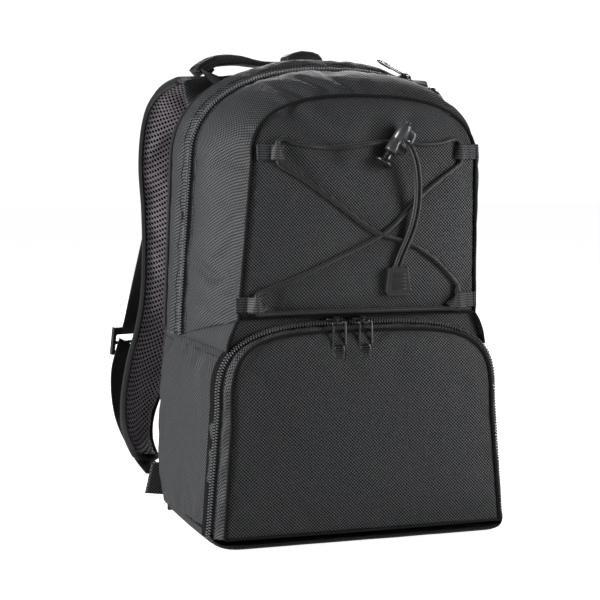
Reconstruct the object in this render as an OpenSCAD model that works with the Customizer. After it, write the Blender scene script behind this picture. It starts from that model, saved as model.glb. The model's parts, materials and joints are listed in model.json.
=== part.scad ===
// Small padded backpack case for a folding drone. Millimetres, +Z up, +X to the right of
// someone who faces the door. The origin is on the floor, in the middle of the base.

/* [Bag] */
// Width across the lower compartment, at the back
body_w = 260; // [256:1:264]
// Height of the crest above the floor
body_h = 386; // [382:1:390]
// Thickness of the padded fabric walls
wall = 3; // [2.4:0.2:3.4]
// Sideways sag of the soft upper half, at its front
lean = 12; // [0:1:14]

/* [Door and lid] */
// Height of the zipped door of the lower compartment
door_h = 176; // [172:1:177]
// Height of the fold that the upper lid opens about
hinge_z = 180; // [179:1:182]
// Width of a zipper's coil
coil_w = 5; // [4:0.5:6]

/* [Cords] */
// Diameter of the elastic lacing
cord_d = 3.8; // [3:0.2:4.2]
// Diameter of each of the two hanging tails
tail_d = 3.2; // [2.8:0.2:3.6]

/* [Straps] */
// Thickness of the shoulder strap pads
pad_t = 8; // [6:1:9]
// Width of the webbing
web_w = 25; // [20:1:26]
// Thickness of the webbing
web_t = 1.6; // [1.2:0.2:2]

/* [Hidden] */

black = "#26272b";
cloth = "#34353a";
grey = "#8d8893";
foam = "#3f4045";
metal = "#5a5b60";

seam = 0.3;             // gap between two soft pieces that are sewn together
gap = 0.6;              // gap between two pieces that move apart
back_y = 66;            // inner face of the back panel
front_y = -58;          // front edge of the lower walls
zip_y = 28;             // plane of the main zipper
door_y = -62;           // plane of the door's zipper
door_face_y = -78;      // face of the door, at its foot
door_lean = 0.038;      // how far the door's face leans back, per millimetre of height
lid_face_y = -60;       // face of the lid, at its foot
lid_lean = 0.145;       // how far the lid's face leans back, per millimetre of height
shelf_z = 157.3;        // underside of the padded shelf
shelf_t = 3.7;
sag_rise = 125;         // height over which the sideways sag builds up

// Outlines across the bag: half widths at the foot and at the spring of the arch, heights of
// the foot, the spring and the crown, and the exponent of the arch's superellipse.
zip_arch = [126, 123, shelf_z + shelf_t + seam, 300, body_h - 6, 2.3];
crest_arch = [127, 124, zip_arch[2], 300, body_h, 2.3];
back_arch = [body_w / 2 - 1, 125, zip_arch[2], 300, body_h - 2, 2.3];
lid_arch = [99, 95, hinge_z + 1, 303, body_h - 31, 2.6];
door_arch = [126, 118, 9, 110, door_h, 3.2];
door_face_arch = [116, 109, 10, 100, door_h - 7, 4];
zip_sway = lean / 2;
crest_y = 48;           // plane of the crest, the highest line of the top
crest_sway = 4;

function clamp01(v) = min(1, max(0, v));
function lerp(a, b, f) = a + (b - a) * f;
function reversed(list) = [for (i = [len(list) - 1:-1:0]) list[i]];
function unit(v) = v / norm(v);

// A quarter of a superellipse, from the spring of an arch to its crown
function quarter(w, z0, h, n, steps) =
    [for (i = [0:steps]) let (t = 90 * i / steps) [w * pow(cos(t), 2 / n), z0 + h * pow(sin(t), 2 / n)]];

// An arch over the bag, grown outwards by g, from its left foot to its right foot
function arch(a, g = 0, foot = 0, steps = 14) =
    let (q = quarter(a[1] + g, a[3], a[4] + g - a[3], a[5], steps), z0 = foot > 0 ? foot : a[2],
        w0 = lerp(a[0], a[1], clamp01((z0 - a[2]) / (a[3] - a[2]))) + g)
    concat([[-w0, z0]], [for (p = q) [-p[0], p[1]]], [for (i = [steps - 1:-1:0]) q[i]], [[w0, z0]]);

// Puts an outline in space: on a plane that leans back, with the sideways sag of the upper half
function sag(z) = clamp01((z - hinge_z) / sag_rise);
function in_plane(outline, y0, slope = 0, z0 = 0, sway = 0) =
    [for (p = outline) [p[0] + sway * sag(p[1]), y0 + slope * (p[1] - z0), p[1]]];

// The section of a wall that follows an arch, between growths g0 (inside) and g1 (outside)
function wall_ring(a, g0, g1, y0, slope = 0, z0 = 0, sway = 0, foot = 0) =
    concat(in_plane(arch(a, g1, foot), y0, slope, z0, sway),
        reversed(in_plane(arch(a, g0, foot), y0, slope, z0, sway)));

// A closed skin over rings that have the same number of points. A hollow ring runs out along
// one side of a wall and back along the other, so its ends are closed with strips.
module skin(rings, hollow = false) {
    n = len(rings[0]);
    last = (len(rings) - 1) * n;
    sides = [for (i = [0:len(rings) - 2], j = [0:n - 1])
        let (a = i * n + j, b = i * n + (j + 1) % n) each [[a, b, b + n], [a, b + n, a + n]]];
    strips = [for (j = [0:n / 2 - 2]) let (a = n - 1 - j) each [[j, a, a - 1], [j, a - 1, j + 1]]];
    ends = hollow ? concat(strips, [for (f = strips) [last + f[0], last + f[2], last + f[1]]])
        : [[for (j = [n - 1:-1:0]) j], [for (j = [0:n - 1]) last + j]];
    polyhedron([for (r = rings) each r], concat(ends, sides), convexity = 8);
}

// A flat plate in the XZ plane, from y0 towards +Y
module upright_plate(outline, y0, t) {
    translate([0, y0 + t, 0]) rotate([90, 0, 0]) linear_extrude(t) polygon(outline);
}

// A rectangle with round corners, as points
function round_rect(x0, z0, x1, z1, r, steps = 5) = [for (c = [[x1 - r, z1 - r, 0], [x0 + r, z1 - r, 90],
    [x0 + r, z0 + r, 180], [x1 - r, z0 + r, 270]], i = [0:steps])
    let (t = c[2] + 90 * i / steps) [c[0] + r * cos(t), c[1] + r * sin(t)]];

// ---------- compartments ----------

// Half width of the door's outline at a height
function door_half(z) = z <= door_arch[3]
    ? lerp(door_arch[0], door_arch[1], clamp01((z - door_arch[2]) / (door_arch[3] - door_arch[2])))
    : door_arch[1] * pow(1 - pow((z - door_arch[3]) / (door_arch[4] - door_arch[3]), door_arch[5]),
        1 / door_arch[5]);

// Half width of the lower compartment at a depth and a height
function side_half(y, z) =
    let (f = pow(clamp01((back_y - y) / (back_y - front_y)), 1.5))
    lerp(body_w / 2, door_half(z) + 1, f);

depths = [for (i = [0:8]) lerp(back_y - seam, front_y, i / 8)];

module lower_side(s) {
    levels = [3, 50, 95, 125, 142, shelf_z - seam];
    rings = [for (z = levels) concat([for (y = depths) [s * side_half(y, z), y, z]],
        [for (y = reversed(depths)) [s * (side_half(y, z) - wall), y, z]])];
    color(cloth) skin(s > 0 ? [for (r = rings) reversed(r)] : rings, true);
}
module lower_side_l() { lower_side(-1); }
module lower_side_r() { lower_side(1); }

function footprint(z) = concat([for (y = depths) [side_half(y, z), y]],
    [for (y = reversed(depths)) [-side_half(y, z), y]]);

module base_panel() {
    lip_y = door_face_y + 3;
    color(cloth) linear_extrude(3 - seam) polygon(concat([for (y = depths) [side_half(y, 3), y]],
        [[door_face_arch[0] - 2, lip_y], [-door_face_arch[0] + 2, lip_y]],
        [for (y = reversed(depths)) [-side_half(y, 3), y]]));
}

module shelf() {
    color(cloth) translate([0, 0, shelf_z]) linear_extrude(shelf_t) polygon(footprint(shelf_z - seam));
}

// The fixed foot of the upper half, which the lid folds about
module yoke() {
    z0 = zip_arch[2];
    outer = [[-125.5, zip_y - coil_w / 2 - gap], [-99, front_y], [99, front_y],
        [125.5, zip_y - coil_w / 2 - gap]];
    inner = [[122.3, zip_y - coil_w / 2 - gap], [97, front_y + wall], [-97, front_y + wall],
        [-122.3, zip_y - coil_w / 2 - gap]];
    color(cloth) translate([0, 0, z0]) linear_extrude(hinge_z - z0) polygon(concat(outer, inner));
}

module back_panel() {
    color(cloth) upright_plate(concat([[-body_w / 2, 3]], [for (p = arch(back_arch)) [p[0] + 2 * sag(p[1]), p[1]]],
        [[body_w / 2, 3]]), back_y, 4);
}

module back_pads() {
    for (s = [-1, 1]) color(grey) upright_plate(round_rect(min(s * 16, s * 92), 40, max(s * 16, s * 92),
        325, 16),
        back_y + 4 + seam, 5.5);
}

module rear_gusset() {
    color(cloth) skin([
        wall_ring(back_arch, -wall, 0, back_y - seam, 0, 0, 2),
        wall_ring(crest_arch, -wall, 0, crest_y, 0, 0, crest_sway),
        wall_ring(zip_arch, -wall, 0, zip_y + coil_w / 2 + seam, 0, 0, zip_sway)], true);
}

module main_coil() {
    color(black) skin([
        wall_ring(zip_arch, -1.6, 1, zip_y + coil_w / 2, 0, 0, zip_sway),
        wall_ring(zip_arch, -1.6, 1, zip_y - coil_w / 2, 0, 0, zip_sway)], true);
}

module rear_zip_tape() {
    front = zip_y + coil_w / 2 + seam;
    f = 8 / (crest_y - front);
    color(black) skin([
        wall_ring(lerp_list(zip_arch, crest_arch, f), 0.4, 1, lerp(front, crest_y, f), 0, 0,
            lerp(zip_sway, crest_sway, f)),
        wall_ring(zip_arch, 0.4, 1, front, 0, 0, zip_sway)], true);
}

module door_coil() {
    color(black) skin([wall_ring(door_arch, -1.6, 1, front_y - seam), wall_ring(door_arch, -1.6, 1,
        door_y - 2)], true);
}

// ---------- inside ----------

cradle_h = 48;
module drone_cradle() {
    color(foam) difference() {
        translate([-116, -50, 3]) cube([232, 112, cradle_h - 3]);
        // bay for the folded drone
        translate([-50, -38, 12]) cube([100, 88, cradle_h]);
        // slots for two spare batteries
        for (y = [-36, 12]) translate([62, y, 12]) cube([42, 36, cradle_h]);
        // bay for the remote control
        translate([-106, -38, 16]) cube([44, 88, cradle_h]);
    }
}

pocket_face_y = 57;
module slip_pocket() {
    z0 = shelf_z + shelf_t + seam;
    color(foam) translate([0, 0, z0]) difference() {
        translate([-98, pocket_face_y, 0]) cube([196, back_y - seam - pocket_face_y, 128]);
        translate([-95, pocket_face_y + 1.6, 1.6]) cube([190, 20, 140]);
    }
}

module padded_divider() {
    z0 = shelf_z + shelf_t + seam;
    color(foam) upright_cross(z0);
}
module upright_cross(z0) {
    translate([-2.5, -22, z0]) cube([5, pocket_face_y + 21, 82]);
}

module lid_pocket() {
    y0 = lid_face_y + 4 + seam;
    z1 = 296;
    function face(y) = [[-72, y + lid_lean * (196 - hinge_z), 196], [-72, y + lid_lean * (z1 - hinge_z),
        z1],
        [72, y + lid_lean * (z1 - hinge_z), z1], [72, y + lid_lean * (196 - hinge_z), 196]];
    color(foam) skin([face(y0 + 1.4), face(y0)]);
}

module door_pocket() {
    y0 = door_face_y + 4 + seam;
    function face(y) = [[-82, y + door_lean * 16, 26], [-82, y + door_lean * 100, 110],
        [82, y + door_lean * 100, 110], [82, y + door_lean * 16, 26]];
    color(foam) skin([face(y0 + 1.4), face(y0)]);
}

// ---------- lid ----------

module front_panel() {
    color(cloth) skin([in_plane(arch(lid_arch), lid_face_y + 4, lid_lean, hinge_z, lean),
        in_plane(arch(lid_arch), lid_face_y, lid_lean, hinge_z, lean)]);
}

module lid_piping() {
    color(black) skin([
        wall_ring(lid_arch, seam, 3, lid_face_y + 1.8, lid_lean, hinge_z, lean),
        wall_ring(lid_arch, seam, 3, lid_face_y - 1.2, lid_lean, hinge_z, lean)], true);
}

module front_gusset() {
    foot = lid_arch[2];
    color(cloth) skin([
        wall_ring(zip_arch, -wall, 0, zip_y - coil_w / 2 - gap, 0, 0, zip_sway, foot),
        wall_ring(lid_arch, seam, wall + seam, lid_face_y + 1.8 + seam, lid_lean, hinge_z, lean)], true);
}

module lid_zip_tape() {
    foot = lid_arch[2];
    color(black) skin([
        wall_ring(zip_arch, 0.4, 1, zip_y - coil_w / 2 - gap, 0, 0, zip_sway, foot),
        wall_ring(zip_arch, 0.2, 0.8, zip_y - coil_w / 2 - 6, 0, 0, zip_sway, foot)], true);
}

// Depth of the lid's face at a height
function lid_y(z) = lid_face_y + lid_lean * (z - hinge_z);

// A sewn webbing loop, parallel to the lid's face: the cord runs through it near the fold
loop_len = 20;
loop_h = 12;
loop_t = 6.4;
module webbing_loop(x, z, s) {
    color(black) translate([x, lid_y(z) - loop_t / 2 - 1.6, z]) rotate([-atan(lid_lean), 0,
        0]) difference() {
        translate([s > 0 ? -4 : -loop_len + 4, -loop_t / 2, -loop_h / 2]) cube([loop_len, loop_t, loop_h]);
        translate([0, 0, -loop_h]) cylinder(r = cord_d / 2 + 0.5, h = 2 * loop_h, $fn = 32);
    }
}
// Places of the loops' bores: upper left, upper right, lower left, lower right
loops = [[-64, 310], [93, 311], [-86, 191], [85, 191]];
module loop_upper_l() { webbing_loop(loops[0][0], loops[0][1], -1); }
module loop_upper_r() { webbing_loop(loops[1][0], loops[1][1], 1); }
module loop_lower_l() { webbing_loop(loops[2][0], loops[2][1], -1); }
module loop_lower_r() { webbing_loop(loops[3][0], loops[3][1], 1); }

// ---------- cords ----------

// A smooth curve through points: the value at fraction f of the piece that starts at point i
function between(p, i, f) = let (a = p[max(i - 1, 0)], b = p[i], c = p[i + 1], d = p[min(i + 2,
    len(p) - 1)])
    0.5 * (2 * b + (c - a) * f + (2 * a - 5 * b + 4 * c - d) * f * f + (3 * b - a - 3 * c + d) * f * f * f);
function smooth(p, steps) = concat([for (i = [0:len(p) - 2], k = [0:steps - 1]) between(p, i, k / steps)],
    [p[len(p) - 1]]);

// A round cord swept along a route, with a ring of flat sides at each point
module cord(route, d, sides = 8) {
    last = len(route) - 1;
    function dir(i) = unit(route[min(i + 1, last)] - route[max(i - 1, 0)]);
    rings = [for (i = [0:last]) let (t = dir(i), ref = abs(t[1]) < 0.8 ? [0, 1, 0] : [0, 0, 1],
        u = unit(cross(ref, t)), v = cross(t, u))
        [for (k = [0:sides - 1]) route[i] + d / 2 * (cos(360 * k / sides) * u + sin(360 * k / sides) * v)]];
    skin([for (r = rings) reversed(r)]);
}

// Route of the lacing: across, distance in front of the lid's face, height
lacing_route = [[37, 3.6, 318.5], [22, 3.2, 318], [6, 2.7, 316], [-24, 2.5, 314], [-48, 4, 317], [-58,
    4.8, 321],
    [-64, 4.8, 317], [-64, 4.8, 303], [-59, 4, 298], [-40, 2.5, 287], [-12, 2.5, 266], [8, 2.5, 251],
    [21, 2.5, 244], [44, 2.5, 237], [66, 2.5, 223], [82, 4, 206], [85, 4.8, 198], [85, 4.8, 185],
    [78, 4, 184], [60, 2.5, 184], [0, 2.5, 184], [-60, 2.5, 184], [-79, 4, 184], [-86, 4.8, 185],
    [-86, 4.8, 198], [-78, 4, 202], [-49, 2.5, 213], [-12, 3.5, 229], [10, 6.2, 239], [21, 6.8, 245],
    [34, 6, 255], [52, 2.8, 272], [74, 2.5, 289], [89, 4, 299], [93, 4.8, 304], [93, 4.8, 317],
    [88, 4.8, 321], [76, 3, 318], [60, 3.2, 317], [46, 3.6, 318.5]];
module lacing() {
    color(black) cord(smooth([for (p = lacing_route) [p[0], lid_y(p[2]) - p[1], p[2]]], 2), cord_d);
}

lock_at = [34, -52, 318];   // middle of the cord lock's barrel
lock_tilt = 34;             // its top leans to the right
barrel_r = 5.5;
plunger_r = 4;
eyelet_x = 6;
eyelet_z = 3;
module at_lock() { translate(lock_at) rotate([0, lock_tilt, 0]) children(); }

module lock_body() {
    lobe = 10.5;
    color(metal) at_lock() difference() {
        union() {
            translate([0, 0, -9]) cylinder(r = barrel_r, h = 27, $fn = 48);
            translate([0, -barrel_r, -7]) cube([lobe, 2 * barrel_r, 23]);
        }
        translate([0, 0, -10]) cylinder(r = plunger_r + 0.2, h = 25, $fn = 48);
        // eyelet that the tails leave through
        translate([eyelet_x, 0, eyelet_z]) rotate([90, 0, 0]) cylinder(r = 3.4, h = 20, center = true,
            $fn = 32);
    }
}

module lock_plunger() {
    color(black) at_lock() difference() {
        union() {
            translate([0, 0, -20]) cylinder(r = plunger_r, h = 14, $fn = 48);
            translate([0, 0, -20]) cylinder(r = 8.2, h = 3, $fn = 48);
        }
        translate([0, 0, -12]) cylinder(r = plunger_r - 1, h = 20, $fn = 40);
    }
}

// Close turns of wire on a hollow seat, inside the barrel
module lock_spring() {
    turns = 7;
    wire = 0.5;
    spring_r = plunger_r - 1.2;
    color(metal) at_lock() {
        for (k = [0:turns - 1]) translate([0, 0, -5.2 + 1.1 * k])
            rotate_extrude($fn = 32) translate([spring_r - wire, 0]) circle(r = wire, $fn = 16);
        translate([0, 0, 2.2]) difference() {
            cylinder(r = spring_r, h = 12.6, $fn = 32);
            translate([0, 0, -1]) cylinder(r = spring_r - 0.8, h = 15, $fn = 32);
        }
    }
}

// Routes of the two tails, from the eyelet down to the cord end
tail_route = [[40.6, -57.8, 317], [41.6, -60.4, 315.6], [44.4, -61, 310.6], [47.6, -60.6, 302], [49.4,
    -60, 292],
    [50, -60, 280], [49.4, -60, 268], [47.2, -60.4, 257], [43.6, -61, 246], [39, -61.6, 236], [34.6,
        -62.2, 227],
    [31.4, -62.4, 218.4]];
tail_side = [1.9, 0, 0];
module cord_tail_a() { color(black) cord([for (p = tail_route) p - tail_side], tail_d); }
module cord_tail_b() { color(black) cord([for (p = tail_route) p + tail_side], tail_d); }

end_at = [31.4, -62.4, 218.4];  // top of the cord end
module cord_end() {
    depth = 7.6;
    color(black) translate(end_at) difference() {
        translate([0, depth / 2, 0]) rotate([90, 0, 0]) linear_extrude(depth)
            polygon([[-8, 0], [8, 0], [11, -19], [9.5, -23], [-9.5, -23], [-11, -19]]);
        for (k = [0:4]) translate([-6, -depth / 2 - 1, -7 - 3 * k]) cube([12, 1.6, 1.2]);
    }
}

// ---------- door ----------

door_z0 = door_face_arch[2];

module door_panel() {
    color(cloth) skin([in_plane(arch(door_face_arch), door_face_y + 4, door_lean, door_z0),
        in_plane(arch(door_face_arch), door_face_y, door_lean, door_z0)]);
}

module door_piping() {
    color(black) skin([
        wall_ring(door_face_arch, seam, 3, door_face_y + 1.8, door_lean, door_z0),
        wall_ring(door_face_arch, seam, 3, door_face_y - 1.2, door_lean, door_z0)], true);
}

module door_gusset() {
    color(cloth) skin([
        wall_ring(door_arch, -wall, 0, door_y - 2.6, 0, 0, 0, door_z0),
        wall_ring(door_face_arch, seam, wall + seam, door_face_y + 1.8 + seam, door_lean, door_z0)], true);
}

module door_zip_tape() {
    color(black) skin([
        wall_ring(door_arch, 0.2, 0.8, door_y - 2.6, 0, 0, 0, door_z0),
        wall_ring(door_arch, -0.6, 0, door_y - 6, 0, 0, 0, door_z0)], true);
}

// ---------- zipper sliders and pulls ----------

bar_r = 0.9;
bore_r = 0.96;
pull_w = 10;
pull_leg = 27;

// A wire pull: its bar lies along X at the origin, and it hangs down
module wire_pull() {
    color(black) {
        rotate([0, 90, 0]) cylinder(r = bar_r, h = pull_w, center = true, $fn = 24);
        for (s = [-1, 1]) translate([s * pull_w / 2, 0, -pull_leg]) cylinder(r = bar_r, h = pull_leg,
            $fn = 24);
        for (s = [-1, 1]) translate([s * pull_w / 2, 0, 0]) sphere(r = bar_r, $fn = 24);
        translate([0, 0, -pull_leg]) rotate([90, 180, 0])
            rotate_extrude(angle = 180, $fn = 48) translate([pull_w / 2, 0]) circle(r = bar_r, $fn = 24);
        translate([-pull_w / 2, -1.2, -pull_leg + 1]) cube([pull_w, 2.4, 8]);
    }
}

door_bar = [-74.8, 177.2];   // depth and height of the door pulls' bars
door_slider_x = [-22, 0];
module door_slider(x) {
    color(black) translate([x, 0, 0]) difference() {
        union() {
            translate([-7, -66, door_h + 1.6]) cube([14, 7.4, 1.8]);
            translate([-2.6, -71, door_h + 1.6]) cube([5.2, 6, 1.8]);
            translate([-2.6, -76.6, door_h - 1]) cube([5.2, 6, 4.4]);
        }
        translate([-5, door_bar[0], door_bar[1]]) rotate([0, 90, 0]) cylinder(r = bore_r, h = 10, $fn = 24);
    }
}
module door_slider_l() { door_slider(door_slider_x[0]); }
module door_slider_r() { door_slider(door_slider_x[1]); }
module door_pull(x) { translate([x, door_bar[0], door_bar[1]]) rotate([-1.4, 0, 0]) wire_pull(); }
module door_pull_l() { door_pull(door_slider_x[0]); }
module door_pull_r() { door_pull(door_slider_x[1]); }

// A point of the main zipper's arch and the slope there, at a distance from the arch's middle
function arch_z(x) = zip_arch[3] + (zip_arch[4] - zip_arch[3])
    * pow(1 - pow(x / zip_arch[1], zip_arch[5]), 1 / zip_arch[5]);
function arch_slope(x) = atan((arch_z(x + 0.5) - arch_z(x - 0.5)));
module on_arch(x) {
    translate([x + zip_sway, zip_y, arch_z(x)]) rotate([0, -arch_slope(x), 0]) children();
}
crown_z = 5;          // height of the pull's bar over the arch
main_slider_x = [66, 90];
// Turn of each main slider's crown on its plate, then of its pull about the bar
pull_yaw = [-50, 60];
pull_turn = [105, -98];
module main_slider(x, yaw) {
    color(black) on_arch(x) difference() {
        union() {
            translate([-6.5, -4, 2.2]) cube([13, 8, 1.6]);
            rotate([0, 0, yaw]) translate([-2.6, -2.4, 2.2]) cube([5.2, 4.8, 4.4]);
        }
        translate([0, 0, crown_z]) rotate([0, 0, yaw]) rotate([-90, 0, 0])
            cylinder(r = bore_r, h = 10, center = true, $fn = 24);
    }
}
module main_slider_a() { main_slider(main_slider_x[0], pull_yaw[0]); }
module main_slider_b() { main_slider(main_slider_x[1], pull_yaw[1]); }
// The pulls lean back over the crest, clear of the lid
module main_pull(x, yaw, turn) {
    on_arch(x) translate([0, 0, crown_z]) rotate([0, 0, yaw]) rotate([0, turn, 0]) rotate([0, 0,
        90]) wire_pull();
}
module main_pull_a() { main_pull(main_slider_x[0], pull_yaw[0], pull_turn[0]); }
module main_pull_b() { main_pull(main_slider_x[1], pull_yaw[1], pull_turn[1]); }

// ---------- webbing, handle and straps ----------

// A flat band through stations [x, y, z, half width, outward normal], t thick, moved out by lift
module ribbon(st, t, lift = 0, w = 0) {
    last = len(st) - 1;
    rings = [for (i = [0:last]) let (c = [for (k = [0:2]) st[i][k]], a = st[max(i - 1, 0)],
        b = st[min(i + 1, last)],
        dir = unit([for (k = [0:2]) b[k] - a[k]]), side = unit(cross(dir, [st[i][4], st[i][5], st[i][6]])),
        up = cross(side, dir), h = w > 0 ? w / 2 : st[i][3], o = c + lift * up)
        [o + h * side, o + h * side + t * up, o - h * side + t * up, o - h * side]];
    skin(rings);
}
function lerp_list(a, b, f) = [for (k = [0:len(a) - 1]) lerp(a[k], b[k], f)];
function finer(st, steps) = concat([for (i = [0:len(st) - 2], k = [0:steps - 1]) between(st, i, k / steps)],
    [st[len(st) - 1]]);

// Stations of the left shoulder strap, from the top of the back to its lower tip
strap_top = [[-78, 76.6, 342, 26, 0, -1, 0], [-79.5, 77.2, 352, 26.5, 0, -1, 0.2], [-82, 82, 362, 27.5,
    -0.1, -0.5, 0.85],
    [-84.6, 86.8, 366.4, 28.4, -0.1, 0.1, 0.97]];
strap_line = [[-87, 94, 366.5, 29, -0.1, 0.3, 0.95], [-97, 112, 354, 30, -0.1, 0.7, 0.7], [-103, 124,
    333, 31, 0, 1, 0.2],
    [-105, 131, 300, 31, 0, 1, 0.1], [-103, 135, 260, 30, 0, 1, 0], [-103, 138, 220, 29, 0, 1, 0],
    [-106, 140, 180, 28, -0.1, 1, 0], [-115, 139, 148, 26, -0.3, 1, 0], [-130, 132, 115, 23, -0.5, 0.85,
        -0.1],
    [-141, 119, 86, 19, -0.6, 0.7, -0.3], [-144, 106, 64, 16, -0.6, 0.6, -0.5], [-140, 93, 48, 13, -0.5,
        0.5, -0.7]];
module strap_top_piece(s) {
    color(cloth) mirror([s > 0 ? 1 : 0, 0, 0]) ribbon(finer(strap_top, 3), pad_t - 2);
}
module strap_top_l() { strap_top_piece(-1); }
module strap_top_r() { strap_top_piece(1); }
module strap_pad(s) {
    color(grey) mirror([s > 0 ? 1 : 0, 0, 0]) ribbon(finer(strap_line, 3), pad_t);
}
module strap_pad_l() { strap_pad(-1); }
module strap_pad_r() { strap_pad(1); }

// Webbing from the strap down to the ladder lock
upper_line = [[-108, 146, 292, 12.5, 0, 1, 0.1], [-113, 150, 262, 12.5, 0, 1, 0], [-121, 156, 222, 12.5,
    0, 1, 0],
    [-128, 160, 190, 12.5, -0.1, 1, 0], [-133, 160, 170, 12.5, -0.2, 1, 0], [-137, 158.5, 156, 12.5,
        -0.3, 1, 0]];
module strap_webbing(s) {
    color(black) mirror([s > 0 ? 1 : 0, 0, 0]) ribbon(finer(upper_line, 3), web_t, 0, web_w);
}
module strap_webbing_l() { strap_webbing(-1); }
module strap_webbing_r() { strap_webbing(1); }

// Webbing from the ladder lock down to the anchor in the lower corner
lower_line = [[-145, 158, 130, 12.5, -0.4, 1, -0.1], [-151, 154, 112, 12.5, -0.5, 0.9, -0.2],
    [-154, 144, 92, 12.5, -0.6, 0.8, -0.3], [-153, 130, 72, 12.5, -0.6, 0.7, -0.5], [-148, 114, 54, 12.5,
        -0.6, 0.6, -0.6],
    [-141, 98, 40, 12.5, -0.5, 0.5, -0.8], [-135, 85, 32, 12.5, -0.4, 0.4, -0.9]];
module lower_webbing(s) {
    color(black) mirror([s > 0 ? 1 : 0, 0, 0]) ribbon(finer(lower_line, 3), web_t, 0, web_w);
}
module lower_webbing_l() { lower_webbing(-1); }
module lower_webbing_r() { lower_webbing(1); }

lock_mid = [-142, 159.5, 142];     // middle of the left ladder lock's bar
module ladder_lock(s) {
    color(black) mirror([s > 0 ? 1 : 0, 0, 0]) translate(lock_mid) rotate([12, 0, 18]) difference() {
        translate([-17, 1.8, -15]) cube([34, 4, 26]);
        for (z = [-11, -2]) translate([-13.5, 0, z]) cube([27, 10, 6]);
    }
}
module ladder_lock_l() { ladder_lock(-1); }
module ladder_lock_r() { ladder_lock(1); }

// Tabs in the lower corners of the back, which hold the lower webbing
module strap_anchor(s) {
    color(cloth) mirror([s > 0 ? 1 : 0, 0, 0]) translate([0, back_y + 4 + seam, 0]) rotate([90, 0, 0])
        mirror([0, 0, 1]) linear_extrude(4) polygon([[-148, 18], [-118, 14], [-104, 34], [-118, 46],
            [-142, 44]]);
}
module strap_anchor_l() { strap_anchor(-1); }
module strap_anchor_r() { strap_anchor(1); }

handle_y = 79;
module handle_patch() {
    for (x = [-34, 10]) color(black) upright_plate([[x - 11, 344], [x + 11, 344], [x + 11, 368], [x - 11,
        368]], back_y + 4 + seam, 2.4);
}
handle_line = [[-92, 377], [-86, 386], [-74, 394], [-60, 397], [-48, 394], [-38, 390], [-26, 390], [-20,
    394],
    [-17, 400], [-4, 404], [10, 401], [14, 392], [14, 377]];
function band(line, t) = concat([for (p = line) p], reversed([for (i = [0:len(line) - 1])
    let (a = line[max(i - 1, 0)], b = line[min(i + 1, len(line) - 1)],
        d = unit(b - a)) line[i] + t * [d[1], -d[0]]]));
module handle_webbing() {
    color(black) upright_plate(band(finer(handle_line, 3), web_t), handle_y, 22);
}
module handle_grip() {
    color(cloth) upright_plate(band(finer([for (i = [2:6]) handle_line[i] + [0, 0.5]], 3), -3),
        handle_y - 1, 24);
}

back_panel();
back_pads();
rear_gusset();
lower_side_l();
lower_side_r();
base_panel();
shelf();
yoke();
drone_cradle();
slip_pocket();
padded_divider();
main_coil();
rear_zip_tape();
door_coil();
strap_anchor_l();
strap_anchor_r();
strap_top_l();
strap_top_r();
handle_patch();
front_panel();
front_gusset();
lid_piping();
lid_zip_tape();
loop_upper_l();
loop_upper_r();
loop_lower_l();
loop_lower_r();
lacing();
lid_pocket();
lock_body();
lock_spring();
lock_plunger();
cord_tail_a();
cord_tail_b();
cord_end();
door_panel();
door_gusset();
door_piping();
door_zip_tape();
door_pocket();
door_slider_l();
door_slider_r();
door_pull_l();
door_pull_r();
main_slider_a();
main_slider_b();
main_pull_a();
main_pull_b();
handle_webbing();
handle_grip();
strap_pad_l();
strap_pad_r();
strap_webbing_l();
strap_webbing_r();
lower_webbing_l();
lower_webbing_r();
ladder_lock_l();
ladder_lock_r();
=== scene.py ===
"""Looks of a small padded backpack case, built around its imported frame. Lengths in this file are millimetres
until a mesh is made, and the axes are the frame's: +X to the viewer's right, -Y to the front, +Z up."""

import json
import math
from collections import namedtuple

import bmesh
import bpy
import numpy as np
from mathutils import Matrix, Vector, noise
from mathutils.bvhtree import BVHTree


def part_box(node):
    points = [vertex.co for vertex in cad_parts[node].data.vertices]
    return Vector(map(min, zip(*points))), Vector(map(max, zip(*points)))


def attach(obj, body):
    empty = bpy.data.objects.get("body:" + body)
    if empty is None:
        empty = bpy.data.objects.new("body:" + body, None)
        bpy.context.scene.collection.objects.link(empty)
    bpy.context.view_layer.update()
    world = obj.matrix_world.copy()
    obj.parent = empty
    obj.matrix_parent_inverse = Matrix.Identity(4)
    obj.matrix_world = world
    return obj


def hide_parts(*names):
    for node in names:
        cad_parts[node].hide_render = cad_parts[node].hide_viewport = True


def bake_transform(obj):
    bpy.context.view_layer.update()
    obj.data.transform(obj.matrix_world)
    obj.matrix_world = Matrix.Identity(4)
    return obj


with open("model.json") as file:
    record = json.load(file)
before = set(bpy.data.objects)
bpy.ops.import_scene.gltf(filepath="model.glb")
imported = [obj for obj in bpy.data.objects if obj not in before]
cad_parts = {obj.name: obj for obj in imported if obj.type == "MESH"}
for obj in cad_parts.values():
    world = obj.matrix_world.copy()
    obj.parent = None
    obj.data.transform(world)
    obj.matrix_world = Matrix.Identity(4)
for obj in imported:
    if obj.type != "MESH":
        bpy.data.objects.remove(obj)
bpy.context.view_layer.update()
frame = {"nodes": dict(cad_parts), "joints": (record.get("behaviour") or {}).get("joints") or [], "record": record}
MM = 0.001

# ---------- sizes, from the frame ----------


def low(node):
    return np.array(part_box(node)[0]) / MM


def high(node):
    return np.array(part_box(node)[1]) / MM


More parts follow.
